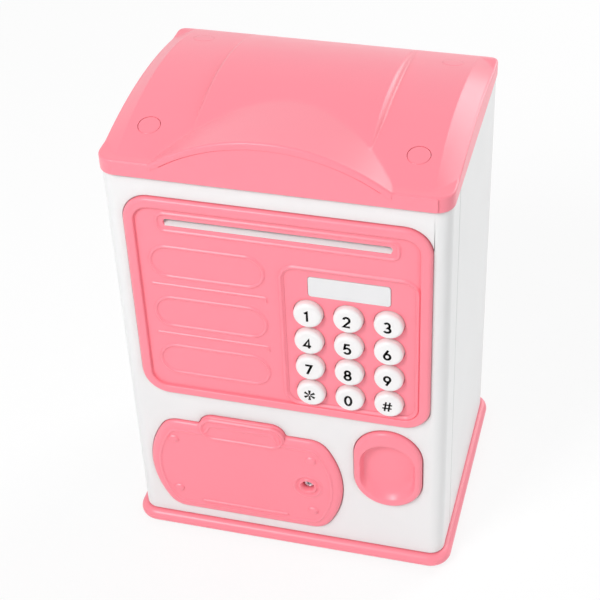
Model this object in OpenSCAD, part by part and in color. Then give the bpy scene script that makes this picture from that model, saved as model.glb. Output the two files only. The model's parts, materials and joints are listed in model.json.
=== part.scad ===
// Toy safe coin bank: a box with a hinged front door, a roof cap and a base tray.
// Sizes are in millimetres. Drawn with z = 0 at the underside of the base tray
// and y = 0 at the front face of the door, then moved so that the feet stand on
// z = 0 and the whole object is centred over the origin.

/* [Body] */
// Width of the white box
body_w = 122; // [100:1:150]
// Depth from the front face of the door to the back of the box
body_d = 95; // [80:1:130]
// Height of the box between base tray and roof
body_h = 162.5; // [140:0.5:200]
// Wall thickness of the box
body_wall = 2.2; // [1.6:0.1:3]
// Radius of the upright corners
corner_r = 5.5; // [3:0.5:8]
// Thickness of the deck under the roof
deck_t = 2.2; // [1.6:0.1:3]

/* [Base] */
// Height of the base tray
base_h = 4.8; // [3.6:0.2:8]
// How far the base bead stands out past the box
base_over = 2.8; // [1.5:0.1:5]
// Thickness of the tray floor
base_floor = 2.4; // [1.6:0.1:3]
// Thickness of the bead around the recess under the tray
base_wall = 1.9; // [1.4:0.1:3]
// Foot diameter
foot_d = 10; // [6:0.5:14]
// Height of the feet below the tray
foot_h = 1.8; // [1:0.1:4]
// Sideways distance of a foot from the centre
foot_x = 44.9; // [30:0.1:50]
// Distance of a foot from the front or back of the box
foot_inset = 4.3; // [3.5:0.1:12]
// Length of the ribs that locate the side walls
side_rib_l = 36; // [20:1:60]
// Length of the rib that locates the back wall
back_rib_l = 80; // [40:1:90]

/* [Roof] */
// Height of the roof rim
rim_h = 6; // [4:0.5:10]
// How far the rim stands forward of the door
rim_front = 1.4; // [0.5:0.1:3]
// How far the rim stands out at the sides and back
rim_side = 0.5; // [0.2:0.1:2]
// Thickness of the rim wall
rim_wall = 1.5; // [1.2:0.1:2]
// Thickness of the roof skin
roof_t = 1.8; // [1.4:0.1:2.6]
// Rise of the roof arch above the rim
arch_rise = 8.1; // [5:0.1:12]
// Flat ledge between the rim edge and the arch at front and back
arch_ledge = 4; // [2:0.5:8]
// Length of the sloped end of the arch
bevel_run = 6.6; // [4:0.1:10]
// Height of the outer edge of the sloped end above the rim
bevel_rise = 3.4; // [1:0.1:5]
// Step back of the outer edge of the sloped end
bevel_inset = 9; // [4:0.5:14]
// Width of the raised centre band
band_w = 61; // [40:1:80]
// Height of the band above the arch
band_rise = 2.5; // [1:0.1:5]
// Radius of the band's curve
band_r = 92; // [80:1:125]
// How far the crest of the band lies behind the crest of the arch
band_back = 1.95; // [0:0.05:5]
// Half width of the gable at the rim
gable_half = 41.7; // [30:0.1:50]
// Height of the gable above the rim
gable_rise = 13.7; // [8:0.1:18]
// Slope of the gable ridge down towards the back, in degrees
gable_fall = 7.2; // [4:0.1:12]
// Length of the gable vault
gable_len = 36; // [30:1:44]
// Thickness of the gable's front lip
gable_lip = 2.7; // [1.5:0.1:4]
// How far the lip stands forward of the rim
lip_front = 0.5; // [0.2:0.1:1.5]
// Sideways distance of a roof plug from the centre
plug_x = 46.9; // [40:0.1:49]
// Distance of a front plug from the door face
plug_front = 16.1; // [12:0.1:24]
// Diameter of a roof plug
plug_d = 8; // [7:0.5:10]

/* [Door] */
// Depth of the door
door_d = 16.6; // [14:0.1:22]
// Gap around the door
door_gap = 0.6; // [0.4:0.1:1]
// Wall thickness of the door
door_wall = 2.2; // [1.6:0.1:3]
// Radius of the hinge edge
hinge_r = 3.4; // [3:0.1:5]
// Hinge pin diameter
pin_d = 2.6; // [2:0.1:3]
// Hinge pin length inside the door
pin_in_door = 7; // [5:0.5:10]
// Hinge pin length inside base or deck
pin_in_body = 3.6; // [3:0.1:4]
// Thickness of the door's back cover
cover_t = 2; // [1.4:0.1:3]

/* [Control panel] */
// Panel width
panel_w = 108.6; // [90:0.1:112]
// Panel height
panel_h = 88.8; // [80:0.1:95]
// Panel centre, sideways
panel_x = 1.1; // [-2:0.1:2]
// Panel centre, height above the underside of the base
panel_z = 115; // [105:0.1:120]
// Panel corner radius
panel_r = 10; // [5:0.5:14]
// How far the panel stands out from the door
panel_raise = 1.7; // [1:0.1:3]
// Diameter of the pegs that hold the panel to the door
peg_d = 3; // [2:0.1:4]
// Width of the raised border
border_w = 5.5; // [3:0.1:8]
// Depth of the field inside the border
field_depth = 0.6; // [0.2:0.1:1]
// Banknote slot width
slot_w = 79; // [70:0.5:84]
// Banknote slot height
slot_h = 2.2; // [1.4:0.1:3]
// Banknote slot centre, sideways
slot_x = 1.85; // [-3:0.05:4]
// Banknote slot height above the underside of the base
slot_z = 150.1; // [146:0.1:152]
// Width of a raised tab
tab_w = 42.7; // [30:0.1:46]
// Height of a raised tab
tab_h = 14; // [8:0.1:16]
// Raised tab centre, sideways
tab_x = -24.6; // [-28:0.05:-20]
// Height of the lowest raised tab
tab_z = 87.9; // [86:0.1:92]
// Distance between raised tabs
tab_pitch = 22.45; // [18:0.05:24]
// Display window width
lens_w = 29.5; // [20:0.1:34]
// Display window height
lens_h = 8.7; // [6:0.1:10]
// Display window centre, sideways
lens_x = 26.4; // [20:0.05:30]
// Display window height above the underside of the base
lens_z = 130.1; // [130:0.1:134]

/* [Keys] */
// Key diameter
key_d = 10.8; // [8:0.1:11.2]
// Key spacing, sideways
key_pitch_x = 14.4; // [14:0.1:16]
// Key spacing, upright
key_pitch_z = 12.2; // [11.9:0.1:13]
// Middle column of keys, sideways
key_x = 26.1; // [24:0.1:28]
// Height of the lowest key row
key_z = 81.6; // [80:0.05:84]
// How far a key stands out from the panel
key_rise = 1.3; // [1:0.1:5]
// Radius of a key's front edge
key_round = 1.5; // [1:0.1:3]
// Key travel
key_travel = 1.5; // [1:0.1:2]

/* [Battery cover] */
// Cover width
batt_w = 76.7; // [70:0.1:80]
// Cover height
batt_h = 46; // [42:0.1:50]
// Cover centre, sideways
batt_x = -16.1; // [-20:0.1:-12]
// Cover height above the underside of the base
batt_z = 33.2; // [30:0.1:36]
// Radius of the cover's bowed sides
batt_side_r = 36; // [32:0.5:45]
// Radius of the cover's corners
batt_corner = 8; // [2:0.5:10]
// How far the cover stands out from the door
batt_raise = 1.9; // [1.2:0.1:3]
// Pull tab width
pull_w = 34; // [20:0.5:40]
// Pull tab height
pull_h = 11.4; // [8:0.1:14]
// Cover screw, sideways
screw_x = 8.8; // [7.5:0.1:12]
// Cell diameter
cell_d = 10.5; // [10.5:0.1:10.5]
// Cell length
cell_l = 44.5; // [44.5:0.1:44.5]

/* [Finger button] */
// Button width
button_w = 26; // [20:0.5:28]
// Button height
button_h = 37.5; // [30:0.5:40]
// Button centre, sideways
button_x = 39.9; // [38:0.1:41]
// Button height above the underside of the base
button_z = 47.8; // [44:0.1:50]
// How far the button stands out from the door
button_raise = 1.9; // [1:0.1:3]
// Width of the rim around the dish
button_rim = 3.3; // [2:0.1:6]
// Depth of the dish
button_dish = 1.6; // [0.5:0.1:2.5]
// Button travel
button_travel = 1.2; // [0.8:0.1:1.6]

/* [Banknote feeder] */
// Drive tyre diameter
tyre_d = 8.6; // [8:0.1:9]
// Drive shaft diameter
shaft_d = 3; // [2:0.1:4]
// Pinch roller diameter
pinch_d = 5.6; // [5:0.1:6]
// Gap between tyres and pinch roller
nip = 0.3; // [0.3:0.05:0.6]
// Distance of the rollers behind the door face
roller_y = 8.4; // [8:0.1:9]
// Gear module
gear_mod = 0.5; // [0.5:0.1:0.5]
// Teeth on the roller gear
gear_teeth = 18; // [18:1:18]
// Teeth on the motor pinion
pinion_teeth = 12; // [12:1:12]
// Motor diameter
motor_d = 10; // [8:0.1:10]
// Motor length
motor_l = 16.4; // [12:0.1:20]

/* [Latch] */
// Height of the latch bolt above the underside of the base
latch_z = 111; // [95:1:125]
// Latch bolt diameter
bolt_d = 5; // [4:0.1:6]
// Latch bolt travel
bolt_travel = 3.8; // [3:0.1:4]
// Solenoid coil diameter
coil_d = 9.6; // [8:0.1:11]
// Length of the solenoid frame
coil_l = 20; // [16:0.5:24]
// Length of the return spring at rest
spring_l = 6.8; // [6:0.1:9]
// Strike plate thickness
strike_t = 1.5; // [1:0.1:2]

/* [Coin slot] */
// Coin slot width
coin_w = 3.2; // [2.6:0.1:3.6]
// Coin slot height
coin_l = 30; // [26:0.5:32]
// Coin slot centre, sideways
coin_x = 1.8; // [-10:0.1:10]
// Width of the bezel face
bezel_w = 9; // [8:0.1:14]
// Distance from the slot's top end to the bezel's top end
bezel_top = 8.9; // [6:0.1:12]

/* [Fits] */
// Gap between a part that drops in and its opening
fit_gap = 0.2; // [0.1:0.05:0.3]
// Gap around a button or a key
press_gap = 0.3; // [0.3:0.05:0.5]
// Radial clearance of a shaft or pin in its bore
run_gap = 0.05; // [0.02:0.01:0.1]

/* [Hidden] */
$fn = 64;
eps = 0.01;

body_top = base_h + body_h;
rim_top = body_top + rim_h;
body_front = door_d + door_gap;
front_reach = panel_raise + key_rise;
back_reach = body_d + base_over;
shift_y = (front_reach - back_reach) / 2;
shift_z = foot_h;

roof_y0 = -rim_front;
roof_y1 = body_d + rim_side;
roof_x = body_w / 2 + rim_side;
roof_mid = (roof_y0 + roof_y1) / 2;
rim_r = corner_r + 1;
arch_half = (roof_y1 - roof_y0) / 2 - arch_ledge;
arch_r = (arch_half * arch_half + arch_rise * arch_rise) / (2 * arch_rise);
arch_zc = rim_top + arch_rise - arch_r;
arch_x = roof_x - bevel_run - 0.5;
bevel_step = 0.4;
end_half = arch_half - bevel_inset;
end_r = (end_half * end_half + bevel_rise * bevel_rise) / (2 * bevel_rise);
end_zc = rim_top + bevel_rise - end_r;
band_y = roof_mid + band_back;
band_zc = rim_top + arch_rise + band_rise - band_r;
gable_r = (gable_half * gable_half + gable_rise * gable_rise) / (2 * gable_rise);
gable_y = roof_y0 - lip_front;
face_r = gable_r - gable_lip;

plug_ys = [plug_front, 2 * roof_mid - plug_front];
deck_x = roof_x - rim_wall - fit_gap;
deck_y0 = roof_y0 + rim_wall + fit_gap;
deck_y1 = roof_y1 - rim_wall - fit_gap;
deck_top = body_top + deck_t;
well_z0 = rim_top - roof_t;
well_floor = 1.7;
head_h = 2;
head_z = well_z0 + well_floor;
plug_z = head_z + head_h + fit_gap;
boss_d = 7;
thread_d = 2.8;
head_d = 5.6;
hole_d = thread_d + 0.4;

post_d = 8;
post_h = 16;
post_x = body_w / 2 - body_wall - post_d / 2 + 0.7;
post_ys = [body_front + 8.8, body_d - body_wall - post_d / 2 + 0.5];
rib_t = 1.6;
rib_h = 2;
rib_y = (post_ys[0] + post_ys[1]) / 2;

hinge_x = -body_w / 2 + hinge_r;
hinge_y = door_d - hinge_r;
door_z0 = base_h + door_gap;
door_z1 = body_top - door_gap;
cav_x0 = hinge_x + hinge_r;
cav_x1 = body_w / 2 - door_wall;
cav_y1 = door_d - cover_t;
door_post_d = 5;
door_posts = [
    [cav_x0 + 4, door_z0 + door_wall + 3],
    [cav_x1 - 3.8, door_z0 + door_wall + 3.4],
    [cav_x0 + 4, door_z1 - door_wall - 3.4],
    [cav_x1 - 3.8, door_z1 - door_wall - 3.4]
];

peg_x = panel_w / 2 - border_w + 1.2;
peg_z = 12;

key_hole = key_d + 2 * press_gap;
lug_t = 1;
lug_w = key_pitch_x - 0.8;
lug_h = 4;
lug_y = door_wall + 0.1;
mat_y = lug_y + lug_t + key_travel + press_gap;
mat_t = 1;
board_y = mat_y + mat_t;
board_t = 1.6;
board_x0 = slot_x - 0.35;
board_x1 = board_x0 + 51.5;
board_z0 = panel_z - panel_h / 2 + 3.4;
board_z1 = board_z0 + 64;
stand_d = 5;
stand_in = 2.5;
board_holes = [
    [board_x0 + stand_in, board_z0 + stand_in],
    [board_x1 - stand_in, board_z0 + stand_in],
    [board_x0 + stand_in, board_z1 - stand_in],
    [board_x1 - stand_in, board_z1 - stand_in]
];

cell_gap = 0.4;
cell_pitch = cell_d + cell_gap;
tray_wall = 1.2;
contact_t = 1;
tray_l = cell_l + 2 * contact_t + 2 * tray_wall + 2 * fit_gap;
tray_h = 3 * cell_pitch + cell_gap + 2 * tray_wall;
tray_x1 = screw_x - 4.6;
tray_x0 = tray_x1 - tray_l;
cell_x = (tray_x0 + tray_x1) / 2;
cell_y = 1.2 + cell_d / 2;
ear_d = 8;
cover_boss_d = 9.2;
cover_boss_t = door_wall + 3;
cover_head_d = 3.8;
cover_head_h = 1.4;
cover_head_y = 2.4;
cover_thread_d = 2.6;
cover_shank = 11;

flange_lip = 1.2;
flange_t = 1.2;
stem_d = 5;
stem_l = 1.4;
switch_y = door_wall + 0.2 + flange_t + stem_l + button_travel + 0.4;

drive_z = slot_z - nip / 2 - tyre_d / 2;
pinch_z = slot_z + nip / 2 + pinch_d / 2;
gear_r = gear_mod * gear_teeth / 2;
pinion_r = gear_mod * pinion_teeth / 2;
motor_z = drive_z - gear_r - pinion_r;
gear_w = 3;
plate_t = 2;
feed_x0 = slot_x - slot_w / 2 - 2.75;
feed_x1 = slot_x + slot_w / 2 + 2.05;
gear_x = feed_x0 - plate_t - 0.6;
feed_bar = 2;
feed_top = pinch_z + pinch_d / 2 + 0.8 + feed_bar;
pinch_shaft = 2.4;
motor_shaft = 1.5;
tyre_w = 10;

coil_y = door_d + 1.5 + 0.1 + coil_d / 2;
coil_x1 = body_w / 2 - 13;
coil_x0 = coil_x1 - coil_l;
frame_t = 1.5;
frame_h = 12;
strike_x = body_w / 2 - body_wall - bolt_travel - 0.5;
bolt_tip = strike_x - 1.1;
bolt_x0 = coil_x0 + 5;
coil_end = coil_x1 - frame_t - spring_l - 1.2;
collar_x = coil_end + 0.2;
collar_t = 1;
collar_d = 8;
strike_hole = bolt_d + 1.4;
strike_h = 22;
strike_d = 10;
strike_y = coil_y - 5;
strike_foot = 6;
strike_thread = 2;
strike_zs = [latch_z - (strike_h - strike_foot) / 2, latch_z + (strike_h - strike_foot) / 2];

speaker_d = 28;
magnet_d = 17;
speaker_x = -26;
speaker_z = latch_z - 11;

coin_z = body_top - deck_t - coin_l / 2 - 4.1;
bezel_back = back_reach - 0.3;
bezel_pad = roof_y1 + 0.05;
bezel_wall = 1.2;
bezel_z1 = coin_z + coin_l / 2 + bezel_top;
bezel_z0 = coin_z - coin_l / 2 - 4.5;
spigot_w = coin_w + 2 * bezel_wall;
spigot_l = coin_l + 2 * bezel_wall;

pink = [1, 0.58, 0.66];
white = [0.95, 0.95, 0.95];
grey = [0.45, 0.46, 0.48];
dark = [0.15, 0.15, 0.16];
steel = [0.72, 0.73, 0.75];
green = [0.1, 0.4, 0.25];
copper = [0.75, 0.42, 0.2];

// Moves a drawn part into the shared frame
module place() {
    translate([0, shift_y, shift_z]) children();
}

// Rectangle with round corners, centred
module round_rect(w, h, r) {
    square([w - 2 * r, h], center = true);
    square([w, h - 2 * r], center = true);
    for (sx = [-1, 1], sy = [-1, 1]) {
        translate([sx * (w / 2 - r), sy * (h / 2 - r)]) circle(r);
    }
}

// Round-ended slot shape, centred
module stadium(w, h) {
    r = min(w, h) / 2;
    square([max(w - 2 * r, eps), min(h, 2 * r)], center = true);
    square([min(w, 2 * r), max(h - 2 * r, eps)], center = true);
    translate([w / 2 - r, h / 2 - r]) circle(r);
    translate([r - w / 2, r - h / 2]) circle(r);
}

// Plan shape between two y positions, drawn upwards
module plan_block(x, y0, y1, r, z0, z1) {
    translate([0, (y0 + y1) / 2, z0])
        linear_extrude(z1 - z0)
            round_rect(2 * x, y1 - y0, r);
}

// Turns an x-z drawing into a plate between two y positions
module front_plate(y0, y1) {
    translate([0, y1, 0])
        rotate([90, 0, 0])
            linear_extrude(y1 - y0)
                children();
}

// Turns a y-z drawing into a bar between two x positions
module side_bar(x0, x1) {
    translate([x0, 0, 0])
        rotate([90, 0, 90])
            linear_extrude(x1 - x0)
                children();
}

// Round bar along y
module y_rod(x, z, d, y0, y1) {
    translate([x, y0, z])
        rotate([-90, 0, 0])
            cylinder(d = d, h = y1 - y0);
}

// Round bar along x
module x_rod(y, z, d, x0, x1) {
    translate([x0, y, z])
        rotate([0, 90, 0])
            cylinder(d = d, h = x1 - x0);
}

// Round bar along z
module z_rod(x, y, d, z0, z1) {
    translate([x, y, z0]) cylinder(d = d, h = z1 - z0);
}

// Box between two corners
module block(x0, x1, y0, y1, z0, z1) {
    translate([x0, y0, z0]) cube([x1 - x0, y1 - y0, z1 - z0]);
}

module base_tray() {
    color(pink) place() difference() {
        union() {
            difference() {
                plan_block(body_w / 2 + base_over, -base_over, back_reach, corner_r + base_over,
                    0, base_h);
                plan_block(body_w / 2 + base_over - base_wall, base_wall - base_over,
                    back_reach - base_wall, corner_r + base_over - base_wall, -1, base_h - base_floor);
            }
            z_rod(hinge_x, hinge_y, boss_d, 0.6, base_h - eps);
            for (s = [-1, 1]) {
                rib = s * (body_w / 2 - body_wall - fit_gap - rib_t / 2);
                block(rib - rib_t / 2, rib + rib_t / 2, rib_y - side_rib_l / 2, rib_y + side_rib_l / 2,
                    base_h - eps, base_h + rib_h);
            }
            block(-back_rib_l / 2, back_rib_l / 2, body_d - body_wall - fit_gap - rib_t,
                body_d - body_wall - fit_gap, base_h - eps, base_h + rib_h);
        }
        for (s = [-1, 1], y = post_ys) {
            z_rod(s * post_x, y, hole_d, -1, base_h + 1);
        }
        z_rod(hinge_x, hinge_y, pin_d, base_h - pin_in_body, base_h + 1);
    }
}

module feet() {
    color(dark) place() {
        for (s = [-1, 1], y = [foot_inset, body_d - foot_inset]) {
            z_rod(s * foot_x, y, foot_d, -foot_h, base_h - base_floor);
        }
    }
}

module base_screws() {
    color(steel) place() {
        for (s = [-1, 1], y = post_ys) {
            z_rod(s * post_x, y, head_d, base_h - base_floor - head_h, base_h - base_floor);
            z_rod(s * post_x, y, thread_d, base_h - base_floor - eps, base_h + 10);
        }
    }
}

// Plan of the box walls, grown or shrunk by an inset
module box_plan(inset) {
    intersection() {
        translate([0, body_d / 2])
            round_rect(body_w - 2 * inset, body_d - 2 * inset, corner_r - inset);
        translate([-body_w, body_front]) square([2 * body_w, body_d]);
    }
}

module body_shell() {
    color(white) place() difference() {
        union() {
            translate([0, 0, base_h]) linear_extrude(body_h) difference() {
                box_plan(0);
                translate([0, -1]) square([body_w - 2 * body_wall, 2 * body_front + 4], center = true);
                box_plan(body_wall);
            }
            block(-body_w / 2 + body_wall - eps, body_w / 2 - body_wall + eps, body_front,
                body_d - body_wall + eps, body_top - deck_t, body_top + eps);
            plan_block(deck_x, deck_y0, deck_y1, rim_r - rim_wall - fit_gap, body_top, deck_top);
            intersection() {
                z_rod(hinge_x, hinge_y, boss_d, body_top, body_top + pin_in_body + 0.2);
                plan_block(deck_x, deck_y0, deck_y1, rim_r - rim_wall - fit_gap, body_top, rim_top);
            }
            for (s = [-1, 1], y = plug_ys) {
                z_rod(s * plug_x, y, boss_d, deck_top - eps, well_z0);
            }
            for (s = [-1, 1], y = post_ys) {
                z_rod(s * post_x, y, post_d, base_h, base_h + post_h);
            }
        }
        for (s = [-1, 1], y = plug_ys) {
            z_rod(s * plug_x, y, thread_d, body_top + 0.8, well_z0 + 1);
        }
        for (s = [-1, 1], y = post_ys) {
            z_rod(s * post_x, y, thread_d, base_h - 1, base_h + 11);
        }
        z_rod(hinge_x, hinge_y, pin_d, body_top - 1, body_top + pin_in_body);
        for (z = strike_zs) {
            x_rod(coil_y, z, strike_thread, strike_x, body_w / 2 - body_wall + 0.6);
        }
        front_plate(body_d - 2 * body_wall, body_d + 1)
            translate([coin_x, coin_z]) stadium(spigot_w + fit_gap, spigot_l + fit_gap);
    }
}

// Section of the main roof arch, shrunk by an inset
module arch_section(inset, steps = 360) {
    intersection() {
        translate([roof_mid, arch_zc]) circle(arch_r - inset, $fn = steps);
        translate([roof_y0, rim_top - 1]) square([roof_y1 - roof_y0, arch_rise + 2]);
    }
}

// Section of the outer edge of the arch's sloped end
module end_section() {
    intersection() {
        translate([roof_mid, end_zc]) circle(end_r, $fn = 120);
        translate([roof_y0, rim_top - 1]) square([roof_y1 - roof_y0, bevel_rise + 2]);
    }
}

// Gable vault: a cylinder whose ridge falls towards the back
module vault(r, drop, half, y0, y1, z0) {
    intersection() {
        translate([0, gable_y, rim_top + gable_rise - drop])
            rotate([-gable_fall, 0, 0])
                translate([0, -8, -r])
                    rotate([-90, 0, 0])
                        cylinder(r = r, h = gable_len + 16, $fn = 360);
        block(-half, half, y0, y1, z0, rim_top + gable_rise + 2);
    }
}

module roof_cap() {
    color(pink) place() difference() {
        union() {
            difference() {
                union() {
                    plan_block(roof_x, roof_y0, roof_y1, rim_r, body_top, rim_top);
                    side_bar(-arch_x, arch_x) arch_section(0);
                    for (s = [-1, 1]) {
                        end_x = s * (roof_x - 0.55);
                        hull() {
                            side_bar(s * arch_x - 0.2, s * arch_x + 0.2) arch_section(bevel_step, 120);
                            side_bar(end_x - 0.05, end_x + 0.05) end_section();
                        }
                    }
                    side_bar(-band_w / 2, band_w / 2) intersection() {
                        translate([band_y, band_zc]) circle(band_r, $fn = 360);
                        translate([roof_y0 + arch_ledge, rim_top - 1])
                            square([2 * arch_half, arch_rise + band_rise + 2]);
                    }
                    vault(gable_r, 0, gable_half + 1, gable_y, gable_y + gable_len, rim_top - 2);
                }
                plan_block(roof_x - rim_wall, roof_y0 + rim_wall, roof_y1 - rim_wall, rim_r - rim_wall,
                    body_top - 1, well_z0);
                intersection() {
                    side_bar(-arch_x + roof_t, arch_x - roof_t) arch_section(roof_t);
                    block(-roof_x, roof_x, roof_y0 + arch_ledge, roof_y1 - arch_ledge, body_top,
                        rim_top + arch_rise);
                }
                block(-arch_x + roof_t, arch_x - roof_t, arch_ledge + 6, roof_y1 - arch_ledge - 8,
                    body_top, rim_top);
                vault(gable_r - roof_t, roof_t, gable_half - 4, roof_y0 + 2 * roof_t,
                    gable_y + gable_len - 14, body_top + 1);
            }
            intersection() {
                union() {
                    for (s = [-1, 1], y = plug_ys) {
                        z_rod(s * plug_x, y, plug_d + 3, well_z0, rim_top + arch_rise);
                    }
                }
                union() {
                    side_bar(-arch_x, arch_x) arch_section(roof_t / 2);
                    block(-roof_x, roof_x, roof_y0, roof_y1, body_top, rim_top - 0.5);
                }
            }
        }
        front_plate(gable_y - 1, roof_y0) intersection() {
            translate([0, rim_top + gable_rise - gable_lip - face_r]) circle(face_r, $fn = 360);
            translate([-gable_half, body_top - 1]) square([2 * gable_half, rim_h + gable_rise + 2]);
        }
        for (s = [-1, 1], y = plug_ys) {
            z_rod(s * plug_x, y, hole_d, well_z0 - 1, rim_top + 1);
            z_rod(s * plug_x, y, head_d + 0.6, head_z, rim_top + 4);
            z_rod(s * plug_x, y, plug_d + 2 * run_gap, plug_z, rim_top + arch_rise + 2);
        }
    }
}

module roof_screws() {
    color(steel) place() {
        for (s = [-1, 1], y = plug_ys) {
            z_rod(s * plug_x, y, head_d, head_z, head_z + head_h);
            z_rod(s * plug_x, y, thread_d, body_top + 1, head_z + eps);
        }
    }
}

module screw_plugs() {
    color(pink) place() intersection() {
        union() {
            for (s = [-1, 1], y = plug_ys) {
                z_rod(s * plug_x, y, plug_d, plug_z, rim_top + arch_rise + 1);
            }
        }
        side_bar(-arch_x, arch_x) arch_section(0);
    }
}

module hinge_pins() {
    color(steel) place() {
        z_rod(hinge_x, hinge_y, pin_d, base_h - pin_in_body, door_z0 + pin_in_door);
        z_rod(hinge_x, hinge_y, pin_d, door_z1 - pin_in_door, body_top + pin_in_body);
    }
}

module strike_plate() {
    color(steel) place() difference() {
        union() {
            block(strike_x, strike_x + strike_t, strike_y, strike_y + strike_d,
                latch_z - strike_h / 2, latch_z + strike_h / 2);
            for (z = strike_zs) {
                block(strike_x, body_w / 2 - body_wall, strike_y, strike_y + strike_d,
                    z - strike_foot / 2, z + strike_foot / 2);
            }
        }
        x_rod(coil_y, latch_z, strike_hole, strike_x - 1, strike_x + strike_t + 1);
        for (z = strike_zs) {
            x_rod(coil_y, z, strike_thread + 0.4, strike_x - 1, body_w / 2 - body_wall + 1);
        }
    }
}

module strike_screws() {
    color(steel) place() {
        for (z = strike_zs) {
            x_rod(coil_y, z, 2 * strike_thread, strike_x - 1, strike_x);
            x_rod(coil_y, z, strike_thread, strike_x - eps, body_w / 2 - body_wall + 0.5);
        }
    }
}

module coin_bezel() {
    color(pink) place() difference() {
        union() {
            front_plate(bezel_pad, bezel_back)
                translate([coin_x, (bezel_z0 + bezel_z1) / 2]) stadium(bezel_w, bezel_z1 - bezel_z0);
            front_plate(body_d, bezel_pad + eps)
                translate([coin_x, (bezel_z0 + body_top) / 2]) stadium(bezel_w, body_top - bezel_z0 - 0.4);
            front_plate(body_d - body_wall - 1.5, body_d + eps)
                translate([coin_x, coin_z]) stadium(spigot_w, spigot_l);
        }
        front_plate(body_d - body_wall - 3, back_reach + 1)
            translate([coin_x, coin_z]) stadium(coin_w, coin_l);
    }
}

// Plan of the door: round front corners, and a hinge edge rounded about the pin
module door_plan() {
    for (s = [-1, 1]) {
        translate([s * (body_w / 2 - corner_r), corner_r]) circle(corner_r);
    }
    translate([corner_r - body_w / 2, 0]) square([body_w - 2 * corner_r, door_d - hinge_r]);
    translate([-body_w / 2, corner_r]) square([body_w, door_d - hinge_r - corner_r]);
    translate([hinge_x, corner_r]) square([body_w - hinge_r, door_d - corner_r]);
    translate([hinge_x, hinge_y]) circle(hinge_r);
}

// Outline of the battery cover without its pull tab
module batt_outline() {
    shift = batt_w / 2 - batt_side_r;
    corner_z = batt_h / 2 - batt_corner;
    corner_x = shift + sqrt(pow(batt_side_r - batt_corner, 2) - corner_z * corner_z);
    side_h = 2 * corner_z * batt_side_r / (batt_side_r - batt_corner);
    translate([batt_x, batt_z]) {
        square([2 * corner_x, batt_h], center = true);
        intersection() {
            union() {
                for (s = [-1, 1]) {
                    translate([s * shift, 0]) circle(batt_side_r);
                }
            }
            square([batt_w, side_h], center = true);
        }
        for (s = [-1, 1], t = [-1, 1]) {
            translate([s * corner_x, t * corner_z]) circle(batt_corner);
        }
    }
}

// Holes that go through both the panel and the door: note slot, display window, keys
module panel_holes() {
    translate([slot_x, slot_z]) square([slot_w, slot_h], center = true);
    translate([lens_x, lens_z]) square([lens_w, lens_h], center = true);
    for (row = [0:3], col = [-1:1]) {
        translate([key_x + col * key_pitch_x, key_z + row * key_pitch_z]) circle(d = key_hole);
    }
}

module door_shell() {
    color(white) place() difference() {
        union() {
            difference() {
                translate([0, 0, door_z0]) linear_extrude(door_z1 - door_z0) door_plan();
                block(cav_x0, cav_x1, door_wall, door_d + 1, door_z0 + door_wall, door_z1 - door_wall);
            }
            for (p = door_posts) {
                y_rod(p[0], p[1], door_post_d, door_wall - eps, cav_y1);
            }
            for (p = board_holes) {
                y_rod(p[0], p[1], stand_d, door_wall - eps, board_y);
            }
        }
        front_plate(-1, door_wall + 1) {
            panel_holes();
            for (sx = [-1, 1], sz = [-1, 1]) {
                translate([panel_x + sx * peg_x, panel_z + sz * peg_z]) circle(d = peg_d + 2 * run_gap);
            }
            translate([(tray_x0 + tray_x1) / 2, batt_z])
                square([tray_l + 2 * fit_gap, tray_h + 2 * fit_gap], center = true);
            translate([screw_x, batt_z]) circle(d = cover_boss_d + 2 * press_gap);
            translate([button_x, button_z]) stadium(button_w + 2 * press_gap, button_h + 2 * press_gap);
        }
        for (p = door_posts) {
            y_rod(p[0], p[1], 2, door_wall + 2, door_d + 1);
        }
        for (p = board_holes) {
            y_rod(p[0], p[1], 1.8, door_wall, board_y + 1);
        }
        z_rod(hinge_x, hinge_y, pin_d + 2 * run_gap, door_z0 - 1, door_z0 + pin_in_door + 0.5);
        z_rod(hinge_x, hinge_y, pin_d + 2 * run_gap, door_z1 - pin_in_door - 0.5, door_z1 + 1);
    }
}

module door_back_cover() {
    color(white) place() difference() {
        block(cav_x0 + fit_gap, cav_x1 - fit_gap, cav_y1, door_d,
            door_z0 + door_wall + fit_gap, door_z1 - door_wall - fit_gap);
        front_plate(cav_y1 - 1, door_d + 1) {
            translate([slot_x, slot_z]) square([slot_w + 4, slot_h + 1.2], center = true);
            for (a = [0:60:300]) {
                translate([speaker_x + 6 * cos(a), speaker_z + 6 * sin(a)]) circle(d = 2);
            }
            translate([speaker_x, speaker_z]) circle(d = 2);
            for (p = door_posts) {
                translate(p) circle(d = 2.4);
            }
        }
    }
}

module back_cover_screws() {
    color(steel) place() {
        for (p = door_posts) {
            y_rod(p[0], p[1], 4.4, door_d, door_d + 1.6);
            y_rod(p[0], p[1], 2, cav_y1 - 6, door_d + eps);
        }
    }
}

module control_panel() {
    field_w = panel_w - 2 * border_w;
    field_h = panel_h - 2 * border_w;
    face = field_depth - panel_raise;
    color(pink) place() difference() {
        union() {
            difference() {
                front_plate(-panel_raise, 0)
                    translate([panel_x, panel_z]) round_rect(panel_w, panel_h, panel_r);
                front_plate(-panel_raise - 1, face)
                    translate([panel_x, panel_z]) round_rect(field_w, field_h, panel_r - border_w);
            }
            for (sx = [-1, 1], sz = [-1, 1]) {
                y_rod(panel_x + sx * peg_x, panel_z + sz * peg_z, peg_d, -eps, door_wall);
            }
            front_plate(-panel_raise, face + eps) {
                for (i = [0:2]) {
                    translate([tab_x, tab_z + i * tab_pitch]) stadium(tab_w, tab_h);
                }
                translate([slot_x, slot_z]) round_rect(slot_w + 4, slot_h + 4, 1.5);
            }
        }
        front_plate(-panel_raise - 1, 1) panel_holes();
    }
}

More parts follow.
